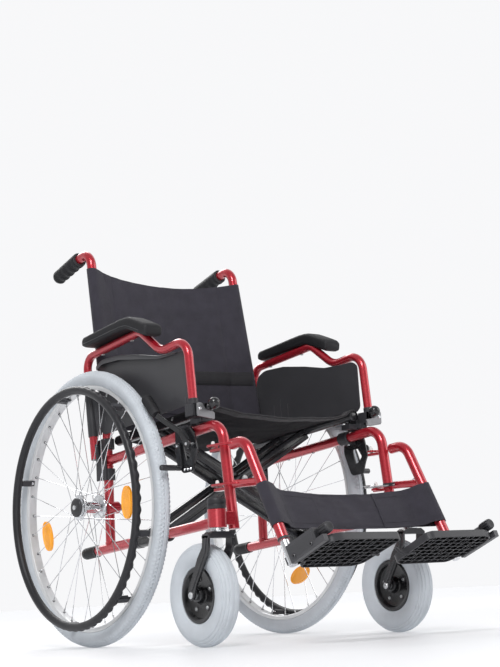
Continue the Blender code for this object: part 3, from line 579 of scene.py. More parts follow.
def back_joint():
    """Clamp that ties the back cane to the rear upright and carries the armrest's rear pivot."""
    y, z = ARM_PIVOT
    clamps = []
    for low, high in ((0.4285, 0.4525), (0.36, 0.386)):
        profile = [(TUBE + 0.0006, low), (0.0138, low), (0.015, low + 0.0012), (0.015, high - 0.0012),
                   (0.0138, high), (TUBE + 0.0006, high)]
        clamps.append(turned(profile, (FRAME_X, 0.002, 0), Z_AXIS, 40, ring=True))
    both("back_clamp_collars", "side", NYLON, clamps, "back_joint")
    plate = [(0.0142, 0.362), (0.03, 0.368), (0.034, 0.4), (0.03, 0.444), (0.0142, 0.451)]
    body = [slab(plate, 0.2085, 0.2195), block((0.21, 0.2285), (0.0155, 0.0275), (z - 0.012, z + 0.012)),
            block((0.208, 0.22), (-0.0165, -0.0095), (0.431, 0.45)),
            block((0.208, 0.22), (-0.0165, -0.0095), (0.363, 0.383))]
    both("back_clamp_plate", "side", NYLON, body, bevel=0.0016)
    both("back_clamp_cover", "side", NYLON, [block((0.2252, 0.2288), (-0.011, 0.03), (0.36, 0.451))],
         bevel=0.0014)
    metal = [rod((0.22, y, z), (0.2478, y, z), 0.004, 24, lip=0.0006),
             screw_head((0.2195, 0.0265, 0.376), X_AXIS, 0.0038, 0.0022),
             screw_head((0.2195, 0.0265, 0.396), X_AXIS, 0.0038, 0.0022),
             screw_head((0.22, -0.013, 0.4405), X_AXIS, 0.003, 0.0016)]
    both("back_clamp_screws", "side", ZINC, metal)
    both("back_clamp_boss", "side", NYLON,
         [turned([(0.01, 0), (0.0104, 0.001), (0.009, 0.003), (0.006, 0.0034)], (0.2254, y, z), X_AXIS, 32)])


def arm_socket():
    """Front socket of the armrest, the clamp that holds it to the frame, and the seat rail's saddle."""
    near, slot_near, slot_far, far = 0.217, 0.2286, 0.2494, 0.2525
    front, slot_front, back, base, rim = -0.3925, -0.385, -0.357, 0.4525, 0.48
    parts = [block((near, slot_near), (front, back), (base, rim)),
             block((slot_far, far), (front, back), (base, rim)),
             block((near, far), (front, slot_front), (base, rim)),
             block((near, far), (front, back), (base, 0.456)),
             block((0.2072, 0.2262), (-0.375, -0.3595), (0.445, 0.456)),
             block((0.186, 0.2245), (-0.362, -0.334), (0.443, 0.455)),
             block((0.2084, 0.2218), (-0.362, -0.334), (0.45, 0.472))]
    parts += [block((slot_far + 0.0004, far + 0.0007), (y, y + 0.0026), (base + 0.002, rim - 0.002))
              for y in (front + 0.002 + 0.0052 * k for k in range(6))]
    both("arm_socket_block", "side", NYLON, parts, "arm_socket", bevel=0.0008)
    wing = [(0.207, 0.447), (0.25, 0.453), (0.25, 0.48), (0.237, 0.48), (0.231, 0.469), (0.22, 0.464),
            (0.207, 0.462)]
    both("arm_socket_wing", "side", STEEL, [slab(rounded_outline(wing, 0.004), -0.3975, -0.3928, "xz")],
         bevel=0.0007)
    x, z = KNOB_PIVOT
    both("arm_socket_screw", "side", CHROME, [screw_head((0.2435, -0.3975, 0.468), -Y_AXIS, 0.0036, 0.0022)])
    pin = turned([(0.003, 0), (0.003, 0.0095), (0.002, 0.011)], (x, -0.396, z), -Y_AXIS, 20)
    both("arm_knob_pin", "side", ZINC, [pin])


# ---- wheels --------------------------------------------------------------------------------------------
HUB = Vector((WHEEL_X, 0, WHEEL_R))
TREAD_STEPS = 800
HUB_INNER, FLANGES = 0.237, (0.006, 0.0555)
SPOKES_A_SIDE, FLANGE_R = 18, 0.0255


def rear_tyre():
    """Tyre with lugs cut into its tread and shoulders, staggered on the middle of the tread."""
    section = [(BEAD_R, -0.011), (0.272, -0.0128), (0.278, -0.0144), (0.285, -0.015), (0.29, -0.0143),
               (0.293, -0.0128), (0.296, -0.0107), (0.2962, -0.0094), (0.2982, -0.0078), (0.2994, -0.0052),
               (0.2982, -0.0044), (0.2982, -0.0034), (0.3, -0.0026)]
    section += [(r, -x) for r, x in section[::-1]]
    last = len(section) - 1
    depths = {4: -0.0008, 5: -0.002, 6: -0.0022, 7: -0.002, 8: -0.002, 9: -0.0016}

    def tread(i, k):
        i = min(i, last - i)
        lug = (k + (2 if i in (7, 8) else 0)) % 4 < 2
        return 0.0 if lug else depths.get(i, 0.0)

    both("rear_tyre_rubber", "wheel", TYRE,
         [turned(section, HUB, X_AXIS, TREAD_STEPS, ring=True, relief=tread)], "rear_tyre")


def rear_rim():
    """Box-section rim, its well turned towards the hub."""
    seat = BEAD_R - 0.0006
    half = [(RIM_R, 0.004), (RIM_R + 0.0004, 0.0092), (RIM_R + 0.002, 0.011), (seat - 0.003, 0.0115),
            (seat, 0.0112)]
    section = [(r, -x) for r, x in half] + half[::-1]
    both("rear_rim_shell", "wheel", RIM, [turned(section, HUB, X_AXIS, 192, ring=True)], "rear_rim")


def wheel_hub():
    """Bright hub with a scalloped flange at each end, and its dark cap."""
    barrel = [(0.0066, 0.0615), (0.0066, 0), (0.011, 0), (0.0125, 0.0035), (0.018, 0.0042), (0.0285, 0.0045),
              (0.029, 0.0052), (0.029, 0.0068), (0.0285, 0.0075), (0.02, 0.0078), (0.014, 0.01),
              (0.0128, 0.014), (0.0128, 0.048), (0.014, 0.052), (0.02, 0.0537), (0.0285, 0.054),
              (0.029, 0.0547), (0.029, 0.0563), (0.0285, 0.057), (0.0215, 0.0578), (0.0205, 0.0612)]
    start = (HUB_INNER, 0, WHEEL_R)

    def scallop(i, k):
        return -0.0014 if i in (6, 7, 8, 16, 17, 18) and k % 8 in (3, 4) else 0.0

    both("hub_shell", "wheel", CHROME, [turned(barrel, start, X_AXIS, 144, relief=scallop)], "wheel_hub")
    cap = [(0.0206, 0.059), (0.0206, 0.064), (0.0201, 0.0654), (0.0188, 0.0664), (0.015, 0.067),
           (0.007, 0.0672), (0.0003, 0.0672)]
    both("hub_cap", "wheel", GUARD, [turned(cap, start, X_AXIS, 64)])


def spoke_set():
    """Crossed spokes from both flanges, each with its bent head, its nipple and the eyelet in the rim."""
    spokes, nipples, holes = [], [], []
    for flange, offset in enumerate(FLANGES):
        for k in range(SPOKES_A_SIDE):
            a = math.radians(20 * k + 10 * flange)
            b = a + math.radians(60 if k % 2 else -60)
            side = -0.0018 if k % 2 else 0.0018
            inner = Vector((HUB_INNER + offset + side, FLANGE_R * math.cos(a),
                            WHEEL_R + FLANGE_R * math.sin(a)))
            rim_x = WHEEL_X + (0.0024 if flange else -0.0024)
            outer = Vector((rim_x, RIM_R * math.cos(b), WHEEL_R + RIM_R * math.sin(b)))
            way = (outer - inner).normalized()
            spokes.append(rod(inner, outer - way * 0.009, 0.0009, 6))
            spokes.append(rod(inner - X_AXIS * (side * 2.0), inner + X_AXIS * (side * 0.6), 0.0014, 6))
            nipples.append(turned([(0.0017, 0), (0.0017, 0.0075), (0.0024, 0.0095)],
                                  outer - way * 0.01, way, 8))
            holes.append(rod(outer - way * 0.001, outer + way * 0.001, 0.003, 10))
    both("spokes", "wheel", CHROME, spokes, smooth=50)
    both("spoke_nipples", "wheel", ZINC, nipples, smooth=50)
    both("spoke_hole_eyelets", "wheel", NYLON, holes, smooth=50)


def rear_wheel():
    rear_tyre()
    rear_rim()
    wheel_hub()
    spoke_set()
    handrim()
    reflector("reflector_amber_l", "wheel_l", 1, 0.178, math.radians(68), "reflector_l")
    reflector("reflector_amber_r", "wheel_r", -1, 0.15, 0.0, "reflector_r")
    reflector("reflector_amber_rear_r", "wheel_r", -1, 0.196, math.radians(165))


def handrim():
    """Black hand ring, round outside and waved for grip on the side towards the tyre, on six brackets."""
    sides, turns, steps = 16, 68, 9
    rings = [[] for _ in range(sides)]
    for k in range(turns * steps):
        around = 2 * math.pi * k / (turns * steps)
        wave = 0.5 - 0.5 * math.cos(2 * math.pi * k / steps)
        for n, ring in enumerate(rings):
            a = 2 * math.pi * n / sides
            inward = max(0.0, math.cos(a + math.pi / 4)) ** 1.2
            reach = HANDRIM_TUBE * (1 - 0.3 * wave * inward)
            r = HANDRIM_R + math.cos(a) * reach
            ring.append(Vector((HANDRIM_X + math.sin(a) * reach, r * math.sin(around),
                                WHEEL_R + r * math.cos(around))))
    both("handrim_ring", "wheel", NYLON, [loft(rings, loop=True)], "handrim", smooth=60)
    arms, bolts = [], []
    inner, outer, foot = WHEEL_X + 0.0112, HANDRIM_X - 0.005, WHEEL_X + 0.002
    arm = [(inner, 0.249), (inner, 0.2595), (outer, 0.26), (outer, 0.2505)]
    toe = [(foot, 0.2535), (inner + 0.003, 0.2535), (inner + 0.003, 0.2572), (foot, 0.2572)]
    for around in HANDRIM_FEET:
        turn = Matrix.Translation((0, 0, WHEEL_R)) @ Matrix.Rotation(math.radians(around), 4, "X")
        arms += [placed(slab(outline, -0.0062, 0.0062, "xz"), turn) for outline in (arm, toe)]
        bolts.append(placed(screw_head((inner - 0.003, 0, 0.2537), -Z_AXIS, 0.0036, 0.0024), turn))
    both("handrim_brackets", "wheel", NYLON, arms, bevel=0.0008)
    both("handrim_bolts", "wheel", CHROME, bolts)


def reflector(name, body, sign, reach, below, *nodes):
    """Oval amber reflector clipped into the spokes, its face crowned inside a raised rim."""
    turn = Matrix.Translation((0, 0, WHEEL_R)) @ Matrix.Rotation(below, 4, "X")
    rings = []
    for scale, depth in ((0.9, -0.0022), (0.985, -0.0036), (1.0, -0.0026), (1.0, 0.0026), (0.985, 0.0036),
                         (0.9, 0.0024), (0.8, 0.0027), (0.3, 0.0033)):
        rings.append([Vector((WHEEL_X + depth, 0.018 * scale * math.cos(a) - reach,
                              0.035 * scale * math.sin(a)))
                      for a in (2 * math.pi * k / 48 for k in range(48))])
    piece(name, body, AMBER, [placed(loft(rings), turn)], *nodes, sign=sign)


CASTER_AXLE = Vector((CASTER_X, CASTER_AXLE_Y, CASTER_R))


def caster_wheel():
    """Caster tyre with ribs round its tread, and its black rim with five bolts a side."""
    section = [(0.0556, -0.015), (0.06, -0.0178), (0.068, -0.0212), (0.076, -0.0225), (0.083, -0.0216),
               (0.0868, -0.0204), (0.0872, -0.0192), (0.0884, -0.019), (0.09, -0.019), (0.0925, -0.017),
               (0.0928, -0.0156), (0.0942, -0.0152), (0.0957, -0.0146), (0.0976, -0.011), (0.0972, -0.0098),
               (0.098, -0.0092), (0.0993, -0.0082), (0.1, -0.0036), (0.0988, -0.0024), (0.0988, -0.0012)]
    section += [(r, -x) for r, x in section[::-1]]
    both("caster_tyre_rubber", "caster", TYRE, [turned(section, CASTER_AXLE, X_AXIS, 144, ring=True)],
         "caster_tyre")
    half = [(0.0056, 0.02), (0.01, 0.0204), (0.0135, 0.0196), (0.015, 0.017), (0.0168, 0.0085),
            (0.019, 0.0068), (0.04, 0.0065), (0.044, 0.0078), (0.0468, 0.014), (0.049, 0.0152),
            (0.053, 0.0152), (0.0546, 0.0142)]
    section = [(r, -x) for r, x in half] + half[::-1]
    both("caster_rim_disc", "caster", BLACK, [turned(section, CASTER_AXLE, X_AXIS, 96, ring=True)],
         "caster_rim")
    bolts, nuts = [], []
    for k in range(5):
        a = 2 * math.pi * (k + 0.2) / 5
        at = CASTER_AXLE + Vector((0, 0.0315 * math.cos(a), 0.0315 * math.sin(a)))
        for way in (X_AXIS, -X_AXIS):
            bolts.append(screw_head(at + way * 0.0066, way, 0.0036, 0.0026))
            nuts.append(turned([(0.006, 0), (0.0064, 0.0006), (0.0058, 0.0012)], at + way * 0.0064, way, 24))
    both("caster_rim_bolts", "caster", ZINC, bolts)
    both("caster_rim_seats", "caster", BLACK, nuts)


def caster_fork():
    """Fork with its stem, the bearing rings under the frame's housing, and the cap above it."""
    stem = (CASTER_X, STEM_Y, 0.207)
    both("caster_stem_cap", "fork", NYLON,
         [turned([(0.009, 0.056), (0.0176, 0.0562), (0.0184, 0.058), (0.0186, 0.064), (0.018, 0.065),
                  (0.0186, 0.066), (0.0186, 0.0725), (0.0176, 0.0755), (0.015, 0.0778), (0.006, 0.0786)],
                 stem, Z_AXIS, 48)], "caster_fork")
    both("caster_stem", "fork", CHROME,
         [rod((CASTER_X, STEM_Y, 0.21), (CASTER_X, STEM_Y, 0.264), 0.0088, 28),
          turned([(0.01, 0), (0.0152, 0.0004), (0.0156, 0.0024), (0.0136, 0.0036), (0.015, 0.0046),
                  (0.015, 0.0066), (0.01, 0.007)], (CASTER_X, STEM_Y, 0.2188), Z_AXIS, 36)])
    outer, inner = 0.031, 0.0258
    crown = [(CASTER_X - outer, 0.2065), (CASTER_X + outer, 0.2065), (CASTER_X + outer, 0.212),
             (CASTER_X + 0.021, 0.219), (CASTER_X - 0.021, 0.219), (CASTER_X - outer, 0.212)]
    fork = [slab(crown, STEM_Y - 0.013, STEM_Y + 0.0115, "xz")]
    side = [(STEM_Y - 0.01, 0.215), (STEM_Y - 0.009, 0.19), (STEM_Y - 0.004, 0.176), (-0.421, 0.118),
            (-0.4125, 0.0965), (-0.4085, 0.0915), (-0.403, 0.0898), (-0.3975, 0.0915), (-0.3934, 0.0965),
            (-0.3935, 0.106), (-0.427, 0.169), (STEM_Y + 0.0125, 0.19), (STEM_Y + 0.009, 0.215)]
    for a, b in ((inner, outer), (-outer, -inner)):
        fork.append(slab(side, CASTER_X + a, CASTER_X + b))
        edge = CASTER_X + (outer if a > 0 else -outer)
        bead = rounded(in_plane(edge, [(STEM_Y - 0.0015, 0.208), (STEM_Y + 0.003, 0.182), (-0.406, 0.109)]),
                       0.02, 4)
        fork.append(swept(bead, 0.0022, 10))
    both("caster_fork_legs", "fork", BLACK, fork, bevel=0.0016)
    ends = []
    for way in (X_AXIS, -X_AXIS):
        ends.append(screw_head(CASTER_AXLE + way * outer, way, 0.0068, 0.0034))
        ends.append(rod(CASTER_AXLE + way * 0.0204, CASTER_AXLE + way * inner, 0.0072, 24))
    both("caster_axle_ends", "fork", ZINC, ends)


# ---- armrest -------------------------------------------------------------------------------------------
def armrest_bow():
    """Bent tube of the armrest, and the collar on its front foot."""
    line = [(0.015, 0.407), (0.04, 0.6405), (-0.185, 0.662), (-0.262, 0.606), (-0.356, 0.6175),
            (-0.371, 0.459)]
    tube = rounded(in_plane(ARM_X, line), (0.031, 0.04, 0.06, 0.037), 12)
    both("armrest_bow", "arm", RED, [swept(tube, ARM_TUBE, 24)], "armrest_tube")
    crook, foot = in_plane(ARM_X, line[4:])
    way = (Vector(foot) - Vector(crook)).normalized()
    sleeve = [turned([(ARM_TUBE + 0.0002, 0), (0.0106, 0.0004), (0.0108, 0.003), (0.0104, 0.011),
                      (ARM_TUBE + 0.0002, 0.0114)], Vector(foot) - way * 0.033, way, 32, ring=True)]
    both("armrest_post_collar", "arm", NYLON, sleeve)


def armrest_knob():
    """Ball knob of the armrest's lock, on a short arm from its pivot."""
    ball, radius = Vector((0.2178, -0.411, 0.4777)), 0.0125
    profile = [(max(0.0004, radius * math.cos(a)), radius * math.sin(a))
               for a in map(math.radians, range(-84, 85, 12))]
    x, z = KNOB_PIVOT
    knob = [turned(profile, ball, Z_AXIS, 32),
            swept([(x, -0.4015, z), (ball.x, ball.y, ball.z - 0.002)], 0.004, 16),
            turned([(0.0036, 0), (0.0068, 0), (0.0072, 0.001), (0.0072, 0.006), (0.0062, 0.007),
                    (0.0036, 0.007)], (x, -0.3982, z), -Y_AXIS, 28, ring=True)]
    both("armrest_release_knob", "knob", BLACK, knob, "arm_knob")


def arm_pad():
    """Moulded foam pad: a long flat top, then a step down to a blunt nose."""
    top = [(0.0062, 0.669), (0.005, 0.6765), (-0.001, 0.6806), (-0.04, 0.6843), (-0.08, 0.6882),
           (-0.12, 0.6921), (-0.15, 0.6948), (-0.168, 0.695), (-0.18, 0.694), (-0.19, 0.6916),
           (-0.21, 0.6838), (-0.233, 0.6742), (-0.245, 0.6688), (-0.2505, 0.664), (-0.2515, 0.66)]
    low = [(0.0065, 0.6625), (0.0055, 0.659), (0.0, 0.6568), (-0.04, 0.6592), (-0.08, 0.6624),
           (-0.12, 0.6656), (-0.15, 0.667), (-0.168, 0.6672), (-0.179, 0.665), (-0.186, 0.6625),
           (-0.202, 0.6565), (-0.225, 0.6475), (-0.24, 0.6416), (-0.247, 0.642), (-0.2505, 0.647)]
    middle, half, sides, rings = 0.2495, 0.023, 40, []
    last = len(top) - 1
    for k, (upper, lower) in enumerate(zip(top, low)):
        upper, lower = Vector((0, *upper)), Vector((0, *lower))
        pinch = {0: 0.8, 1: 0.94}.get(min(k, last - k), 1.0)
        ring = []
        for n in range(sides):
            a = 2 * math.pi * n / sides
            c, s = math.cos(a), math.sin(a)
            point = lower.lerp(upper, 0.5 + 0.5 * math.copysign(abs(s) ** 0.5, s))
            point.x = middle + math.copysign(abs(c) ** 0.42, c) * half * pinch
            ring.append(point)
        rings.append(ring)
    fine = []
    for lower, upper in zip(rings, rings[1:]):
        fine += [lower, [a.lerp(b, 0.5) for a, b in zip(lower, upper)]]
    for pad in both("armrest_pad_foam", "arm", FOAM, [loft(fine + [rings[-1]])], "arm_pad", smooth=50):
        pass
    seam = [Vector((0, *low[k])).lerp(Vector((0, *top[k])), 0.3) for k in range(2, last - 2)]
    both("armrest_pad_mould_line", "arm", NYLON,
         [swept([point + X_AXIS * (middle + half + 0.0001) for point in seam], 0.0006, 6)])
    screws = [screw_head((ARM_X, y, z), -Z_AXIS, 0.0042, 0.002)
              for y, z in ((-0.03, 0.6375), (-0.15, 0.6485))]
    both("armrest_pad_screws", "arm", ZINC, screws)


def side_panel():
    """Side guard with a rolled lip along its top, a wrap round the armrest's rear leg, and ribs."""
    outline = rounded_outline([(-0.356, 0.495), (-0.354, 0.59), (-0.338, 0.6), (-0.3, 0.599), (-0.24, 0.601),
                               (-0.17, 0.615), (-0.09, 0.627), (-0.02, 0.628), (0.008, 0.616), (0.016, 0.59),
                               (0.008, 0.47), (-0.01, 0.461), (-0.345, 0.485)], 0.01)
    face = [slab(outline, 0.2256, 0.2282)]
    both("side_guard", "arm", GUARD, face, "side_panel", bevel=0.0006)
    edge = rounded(in_plane(0.2282,
                            [(-0.3, 0.599), (-0.24, 0.601), (-0.17, 0.615), (-0.09, 0.627), (-0.02, 0.628),
                             (0.003, 0.618)]), 0.04, 4)
    section = [(-0.0004, 0.0006), (0.006, 0.0004), (0.0086, -0.001), (0.0096, -0.004), (0.0092, -0.011),
               (0.0078, -0.011), (0.008, -0.0042), (0.0068, -0.0022), (0.004, -0.0012), (-0.0004, -0.0012)]
    rings = []
    for point in edge:
        share = min(1.0, 0.35 + 0.65 * (point.y + 0.3) / 0.14)
        rings.append([point + Vector((out * share, 0, up * share)) for out, up in section])
    both("side_guard_lip", "arm", GUARD, [loft(rings)])
    foot, top = Vector((ARM_X, 0.015, 0.407)), Vector((ARM_X, 0.04, 0.6405))
    web = [(0.2262, 0.004), (0.229, 0.004), (0.242, 0.02), (0.238, 0.026), (0.2262, 0.012)]
    both("side_guard_wrap", "arm", GUARD,
         [swept([foot.lerp(top, share) for share in (0.22, 0.66)], 0.0112, 28),
          slab(web, 0.462, 0.556, "xy")], bevel=0.0006)
    inset = X_AXIS * 0.0009
    both("armrest_foot_sleeve", "arm", NYLON,
         [swept([foot.lerp(top, share) - inset for share in (-0.002, 0.14)], 0.0099, 28)])
    ribs = [block((0.2247, 0.2257), (y, y + 0.0016), (0.48, z))
            for y, z in ((-0.052, 0.54), (-0.078, 0.552), (-0.104, 0.536))]
    ribs += [block((0.228, 0.2289), (y, y + 0.005), (0.49, 0.5)) for y in (-0.02, -0.18, -0.33)]
    both("side_guard_ribs", "arm", GUARD, ribs, bevel=0.0003)


# ---- brake ---------------------------------------------------------------------------------------------
def brake_bracket():
    """Plate with a window, clamped to the seat tube, with the pivots of lever and shoe."""
    outline = rounded_outline([(-0.29, 0.433), (-0.29, 0.395), (-0.308, 0.35), (-0.316, 0.3455),
                               (-0.35, 0.347), (-0.353, 0.36), (-0.359, 0.374), (-0.3665, 0.387),
                               (-0.358, 0.424), (-0.345, 0.438), (-0.3, 0.438)], 0.004)
    window = [(-0.317, 0.402), (-0.335, 0.404), (-0.348, 0.385), (-0.328, 0.366)]
    both("brake_plate", "side", BLACK, [holed_plate(outline, window, 0.2292, 0.2328)], "brake_bracket",
         bevel=0.0005)
    middle = seat_tube_z(-0.316)
    clamp = [turned([(TUBE + 0.0006, 0), (0.0142, 0), (0.015, 0.001), (0.015, 0.029), (0.0142, 0.03),
                     (TUBE + 0.0006, 0.03)], (FRAME_X, -0.301, seat_tube_z(-0.301)),
                    (0, -math.cos(TILT), math.sin(TILT)), 36, ring=True)]
    both("brake_clamp_band", "side", NYLON, clamp)
    blocks = [block((0.224, 0.23), (-0.331, -0.301), (middle - 0.015, middle + 0.015)),
              slab(rounded_outline([(-0.304, 0.382), (-0.296, 0.396), (-0.3, 0.401), (-0.312, 0.388)], 0.002),
                   0.2328, 0.2336)]
    both("brake_clamp_block", "side", NYLON, blocks, bevel=0.0012)
    metal = [rod((0.231, y, z), (end, y, z), 0.0036, 20, lip=0.0006)
             for (y, z), end in ((BRAKE_PIVOT, 0.2475), (SHOE_PIVOT, 0.24))]
    metal += [screw_head((0.2326, y, 0.3525), X_AXIS, 0.0032, 0.0022) for y in (-0.32, -0.331, -0.342)]
    metal += [screw_head((FRAME_X, y, middle - 0.0148), -Z_AXIS, 0.0034, 0.0018) for y in (-0.308, -0.324)]
    both("brake_bolts", "side", CHROME, metal)


def brake_lever():
    """Flat bent lever with an eye at its pivot and a ribbed grip."""
    path = rounded([(0.244, *BRAKE_PIVOT), (0.244, -0.324, 0.43), (0.254, -0.293, 0.451),
                    (0.2665, -0.276, 0.468), (0.2665, -0.248, 0.4985)], 0.01, 4)
    strip = strap_along(path, 0.0062, 0.0019)
    eye = turned([(0.0041, 0), (0.0098, 0), (0.01, 0.0008), (0.01, 0.0044), (0.0092, 0.0052),
                  (0.0041, 0.0052)], (0.2406, *BRAKE_PIVOT), X_AXIS, 32, ring=True)
    both("brake_lever_arm", "brake", BLACK, [strip, eye], "brake_lever", bevel=0.0005)
    start, end = Vector((0.2665, -0.2745, 0.4697)), Vector((0.2665, -0.2375, 0.5099))
    length = (end - start).length
    grip = [(0.005, 0), (0.0088, 0.0004), (0.0104, 0.003)]
    for k in range(7):
        at = 0.01 + 0.0052 * k
        grip += [(0.0116, at), (0.0119, at + 0.001), (0.0119, at + 0.0024), (0.0108, at + 0.0034)]
    grip += [(0.0116, length - 0.006), (0.0112, length - 0.003), (0.0085, length - 0.0006), (0.004, length)]
    both("brake_lever_grip", "brake", FOAM, [turned(grip, start, end - start, 32)])


def brake_shoe():
    """Short arm with the round bar that presses on the tyre."""
    (y, z), (bar_y, bar_z) = SHOE_PIVOT, SHOE_BAR
    arm = rounded_outline([(y - 0.0075, z + 0.007), (y + 0.0075, z + 0.007), (y + 0.0075, z - 0.007),
                           (bar_y + 0.006, bar_z), (bar_y, bar_z - 0.005), (bar_y - 0.008, bar_z),
                           (y - 0.0105, z - 0.01)], 0.003)
    both("brake_shoe_arm", "shoe", BLACK, [slab(arm, 0.2342, 0.238)], "brake_shoe", bevel=0.0006)
    bar = turned([(0.0045, 0), (0.0058, 0.001), (0.0059, 0.01), (0.005, 0.011), (0.005, 0.013),
                  (0.0059, 0.014), (0.006, 0.048), (0.0046, 0.0495)], (0.2345, bar_y, bar_z), X_AXIS, 28)
    both("brake_shoe_bar", "shoe", BLACK, [bar])


def holed_plate(outline, window, low, high):
    """A flat plate with one window, its faces joined round both edges."""
    centre = Vector((sum(a for a, _ in window) / len(window), sum(b for _, b in window) / len(window)))
    corners, hole = [Vector(p) for p in window], []
    for point in outline:
        way = Vector(point) - centre
        for first, second in zip(corners, corners[1:] + corners[:1]):
            edge, gap = second - first, first - centre
            crossed = way.cross(edge)
            if abs(crossed) < 1e-12:
                continue
            out, along = gap.cross(edge) / crossed, gap.cross(way) / crossed
            if out > 0 and -1e-6 <= along <= 1 + 1e-6:
                best = centre + way * out
        hole.append(tuple(best))
    return loft([in_plane(x, line)
                 for x, line in ((low, outline), (high, outline), (high, hole), (low, hole))], loop=True)


def strap_along(path, half_width, half_thick):
    """A flat strip along a path, standing on edge: thin across X, wide in the side plane."""
    corners = ((1, 0.72), (0.5, 1), (-0.5, 1), (-1, 0.72), (-1, -0.72), (-0.5, -1), (0.5, -1), (1, -0.72))
    return loft([[point + normal * (half_thick * a) + side * (half_width * b) for a, b in corners]
                 for point, _, normal, side in frames(path)])


# ---- footrest ------------------------------------------------------------------------------------------
def hook_plate(pin, thickness):
    """Flat lug of the hanger that hooks over a pin and reaches forward to the hanger's tube."""
    ahead = [(-0.008, -0.007), (-0.008, 0.01), (0.012, 0.026), (0.06, 0.026), (0.08, 0.01), (0.08, -0.008),
             (0.062, -0.008), (0.056, 0.014), (0.02, 0.014), (0.009, 0.003), (0.009, -0.007)]
    outline = [(pin.x + out, pin.y - front) for front, out in ahead]
    return slab(rounded_outline(outline, 0.0045), pin.z - thickness / 2, pin.z + thickness / 2, "xy")


def hanger():
    """Bent red tube that hooks on the frame's two pins, with its strut and end ring."""
    bow = rounded(in_plane(FRAME_X, HANGER), 0.036)
    open_end = shoe_end - leg * 0.0005
    tubes = [swept(bow[:-1] + [open_end], TUBE, 28),
             swept([(FRAME_X, -0.463, 0.311), (FRAME_X, -0.545, 0.309)], 0.008, 20),
             weld((FRAME_X, -0.539, 0.3092), (0, 1, 0), 0.008, 0.0014)]
    both("hanger_tube", "hanger", RED, tubes, "hanger")
    both("hanger_hooks", "hanger", RED, [hook_plate(pin, 0.0044) for pin in (pin_low, pin_high)], bevel=0.001)
    rings = [turned([(TUBE - 0.0016, 0), (TUBE + 0.0004, 0), (TUBE + 0.0008, 0.001), (TUBE + 0.0008, 0.005),
                     (TUBE - 0.0016, 0.0056)], shoe_end - leg * 0.006, leg, 32, ring=True)]
    both("hanger_end_ring", "hanger", NYLON, rings)
    both("hanger_screws", "hanger", CHROME,
         [screw_head((FRAME_X, -0.502, 0.385), -Z_AXIS, 0.004, 0.0022),
          screw_head((FRAME_X, -0.523, 0.3179), Z_AXIS, 0.0036, 0.0022)])


def release_lever():
    """Latch that holds the hanger, with its paddle and its black tip."""
    outline = rounded_outline([(0.1935, -0.479), (0.2015, -0.479), (0.2015, -0.412), (0.196, -0.399),
                               (0.184, -0.399), (0.1835, -0.413), (0.189, -0.427)], 0.003)
    both("release_latch", "release", ZINC, [slab(outline, 0.309, 0.312, "xy")], "release_lever", bevel=0.0006)
    paddle = rounded_outline([(0.182, -0.3975), (0.197, -0.3975), (0.2005, -0.414), (0.193, -0.423),
                              (0.185, -0.415)], 0.003)
    both("release_paddle", "release", CHROME, [slab(paddle, 0.312, 0.3152, "xy")], bevel=0.0008)
    grip = rounded_outline([(0.1925, -0.4785), (0.2022, -0.4785), (0.2022, -0.448), (0.1925, -0.448)], 0.003)
    both("release_tip", "release", NYLON, [slab(grip, 0.3084, 0.3156, "xy")], bevel=0.0008)


def foot_bracket():
    """Steel tube that slides in the hanger, and the bracket on its end with the hinge's two lugs."""
    both("foot_tube_steel", "foot", CHROME,
         [rod(shoe_end - leg * 0.1, shoe_end + leg * 0.052, 0.0086, 32, lip=0.0006)], "foot_tube")
    side = Vector((0, -leg.z, leg.y)) * -0.0125
    top, low = shoe_end + leg * 0.03, shoe_end + leg * 0.046
    clamp = [slab([(p.y, p.z) for p in (top + side, top - side, low - side, low + side)], 0.203, 0.218)]
    cheek = [(-0.084, -0.0255), (-0.084, -0.0125), (-0.064, -0.012), (-0.062, 0.0085), (-0.06, 0.0105),
             (0.0215, 0.0105), (0.0235, 0.0085), (0.0195, -0.0262)]
    shell = [placed(slab(cheek, 0.2168, 0.2275), foot_frame)]
    relief = [(-0.056, -0.02), (-0.056, 0.005), (0.0175, 0.005), (0.014, -0.021)]
    shell.append(placed(slab(rounded_outline(relief, 0.002), 0.2272, 0.228), foot_frame))
    both("foot_bracket_cheek", "foot", GUARD, shell + clamp, "foot_bracket", bevel=0.0013)
    lugs = [placed(rod((HINGE_X, a, 0), (HINGE_X, b, 0), 0.0078, 32, inner=0.0035, lip=0.0008),
                   foot_frame) for a, b in ((-0.062, -0.047), (-0.01, 0.004))]
    both("foot_bracket_lugs", "foot", GUARD, lugs)
    bolts = [placed(screw_head((0.228, v, w), X_AXIS, 0.004, 0.0022), foot_frame)
             for v, w in ((0.006, -0.016), (-0.048, -0.016))]
    both("foot_bracket_bolts", "foot", BLACK, bolts)


def foot_hinge():
    """Hinge pin of the footplate, with a fluted knob on its front end."""
    knob = [(0.003, -0.004), (0.003, 0.063), (0.0096, 0.0632), (0.0104, 0.065), (0.0098, 0.0672),
            (0.0108, 0.0682), (0.0108, 0.085), (0.01, 0.0885), (0.008, 0.09), (0.003, 0.0895)]

    def fluted(i, k):
        return -0.0008 if i in (5, 6) and k % 6 < 2 else 0.0

    pin = placed(turned(knob, (HINGE_X, 0, 0), -Y_AXIS, 72, relief=fluted), foot_frame)
    both("foot_hinge_knob", "hinge", NYLON, [pin], "foot_hinge")


FOOTPLATE = [(0.215, 0.012), (0.2, 0.014), (0.196, 0.034), (0.188, 0.04), (0.062, 0.042), (0.043, 0.03),
             (0.035, -0.078), (0.045, -0.086), (0.188, -0.088), (0.208, -0.08), (0.215, -0.06)]


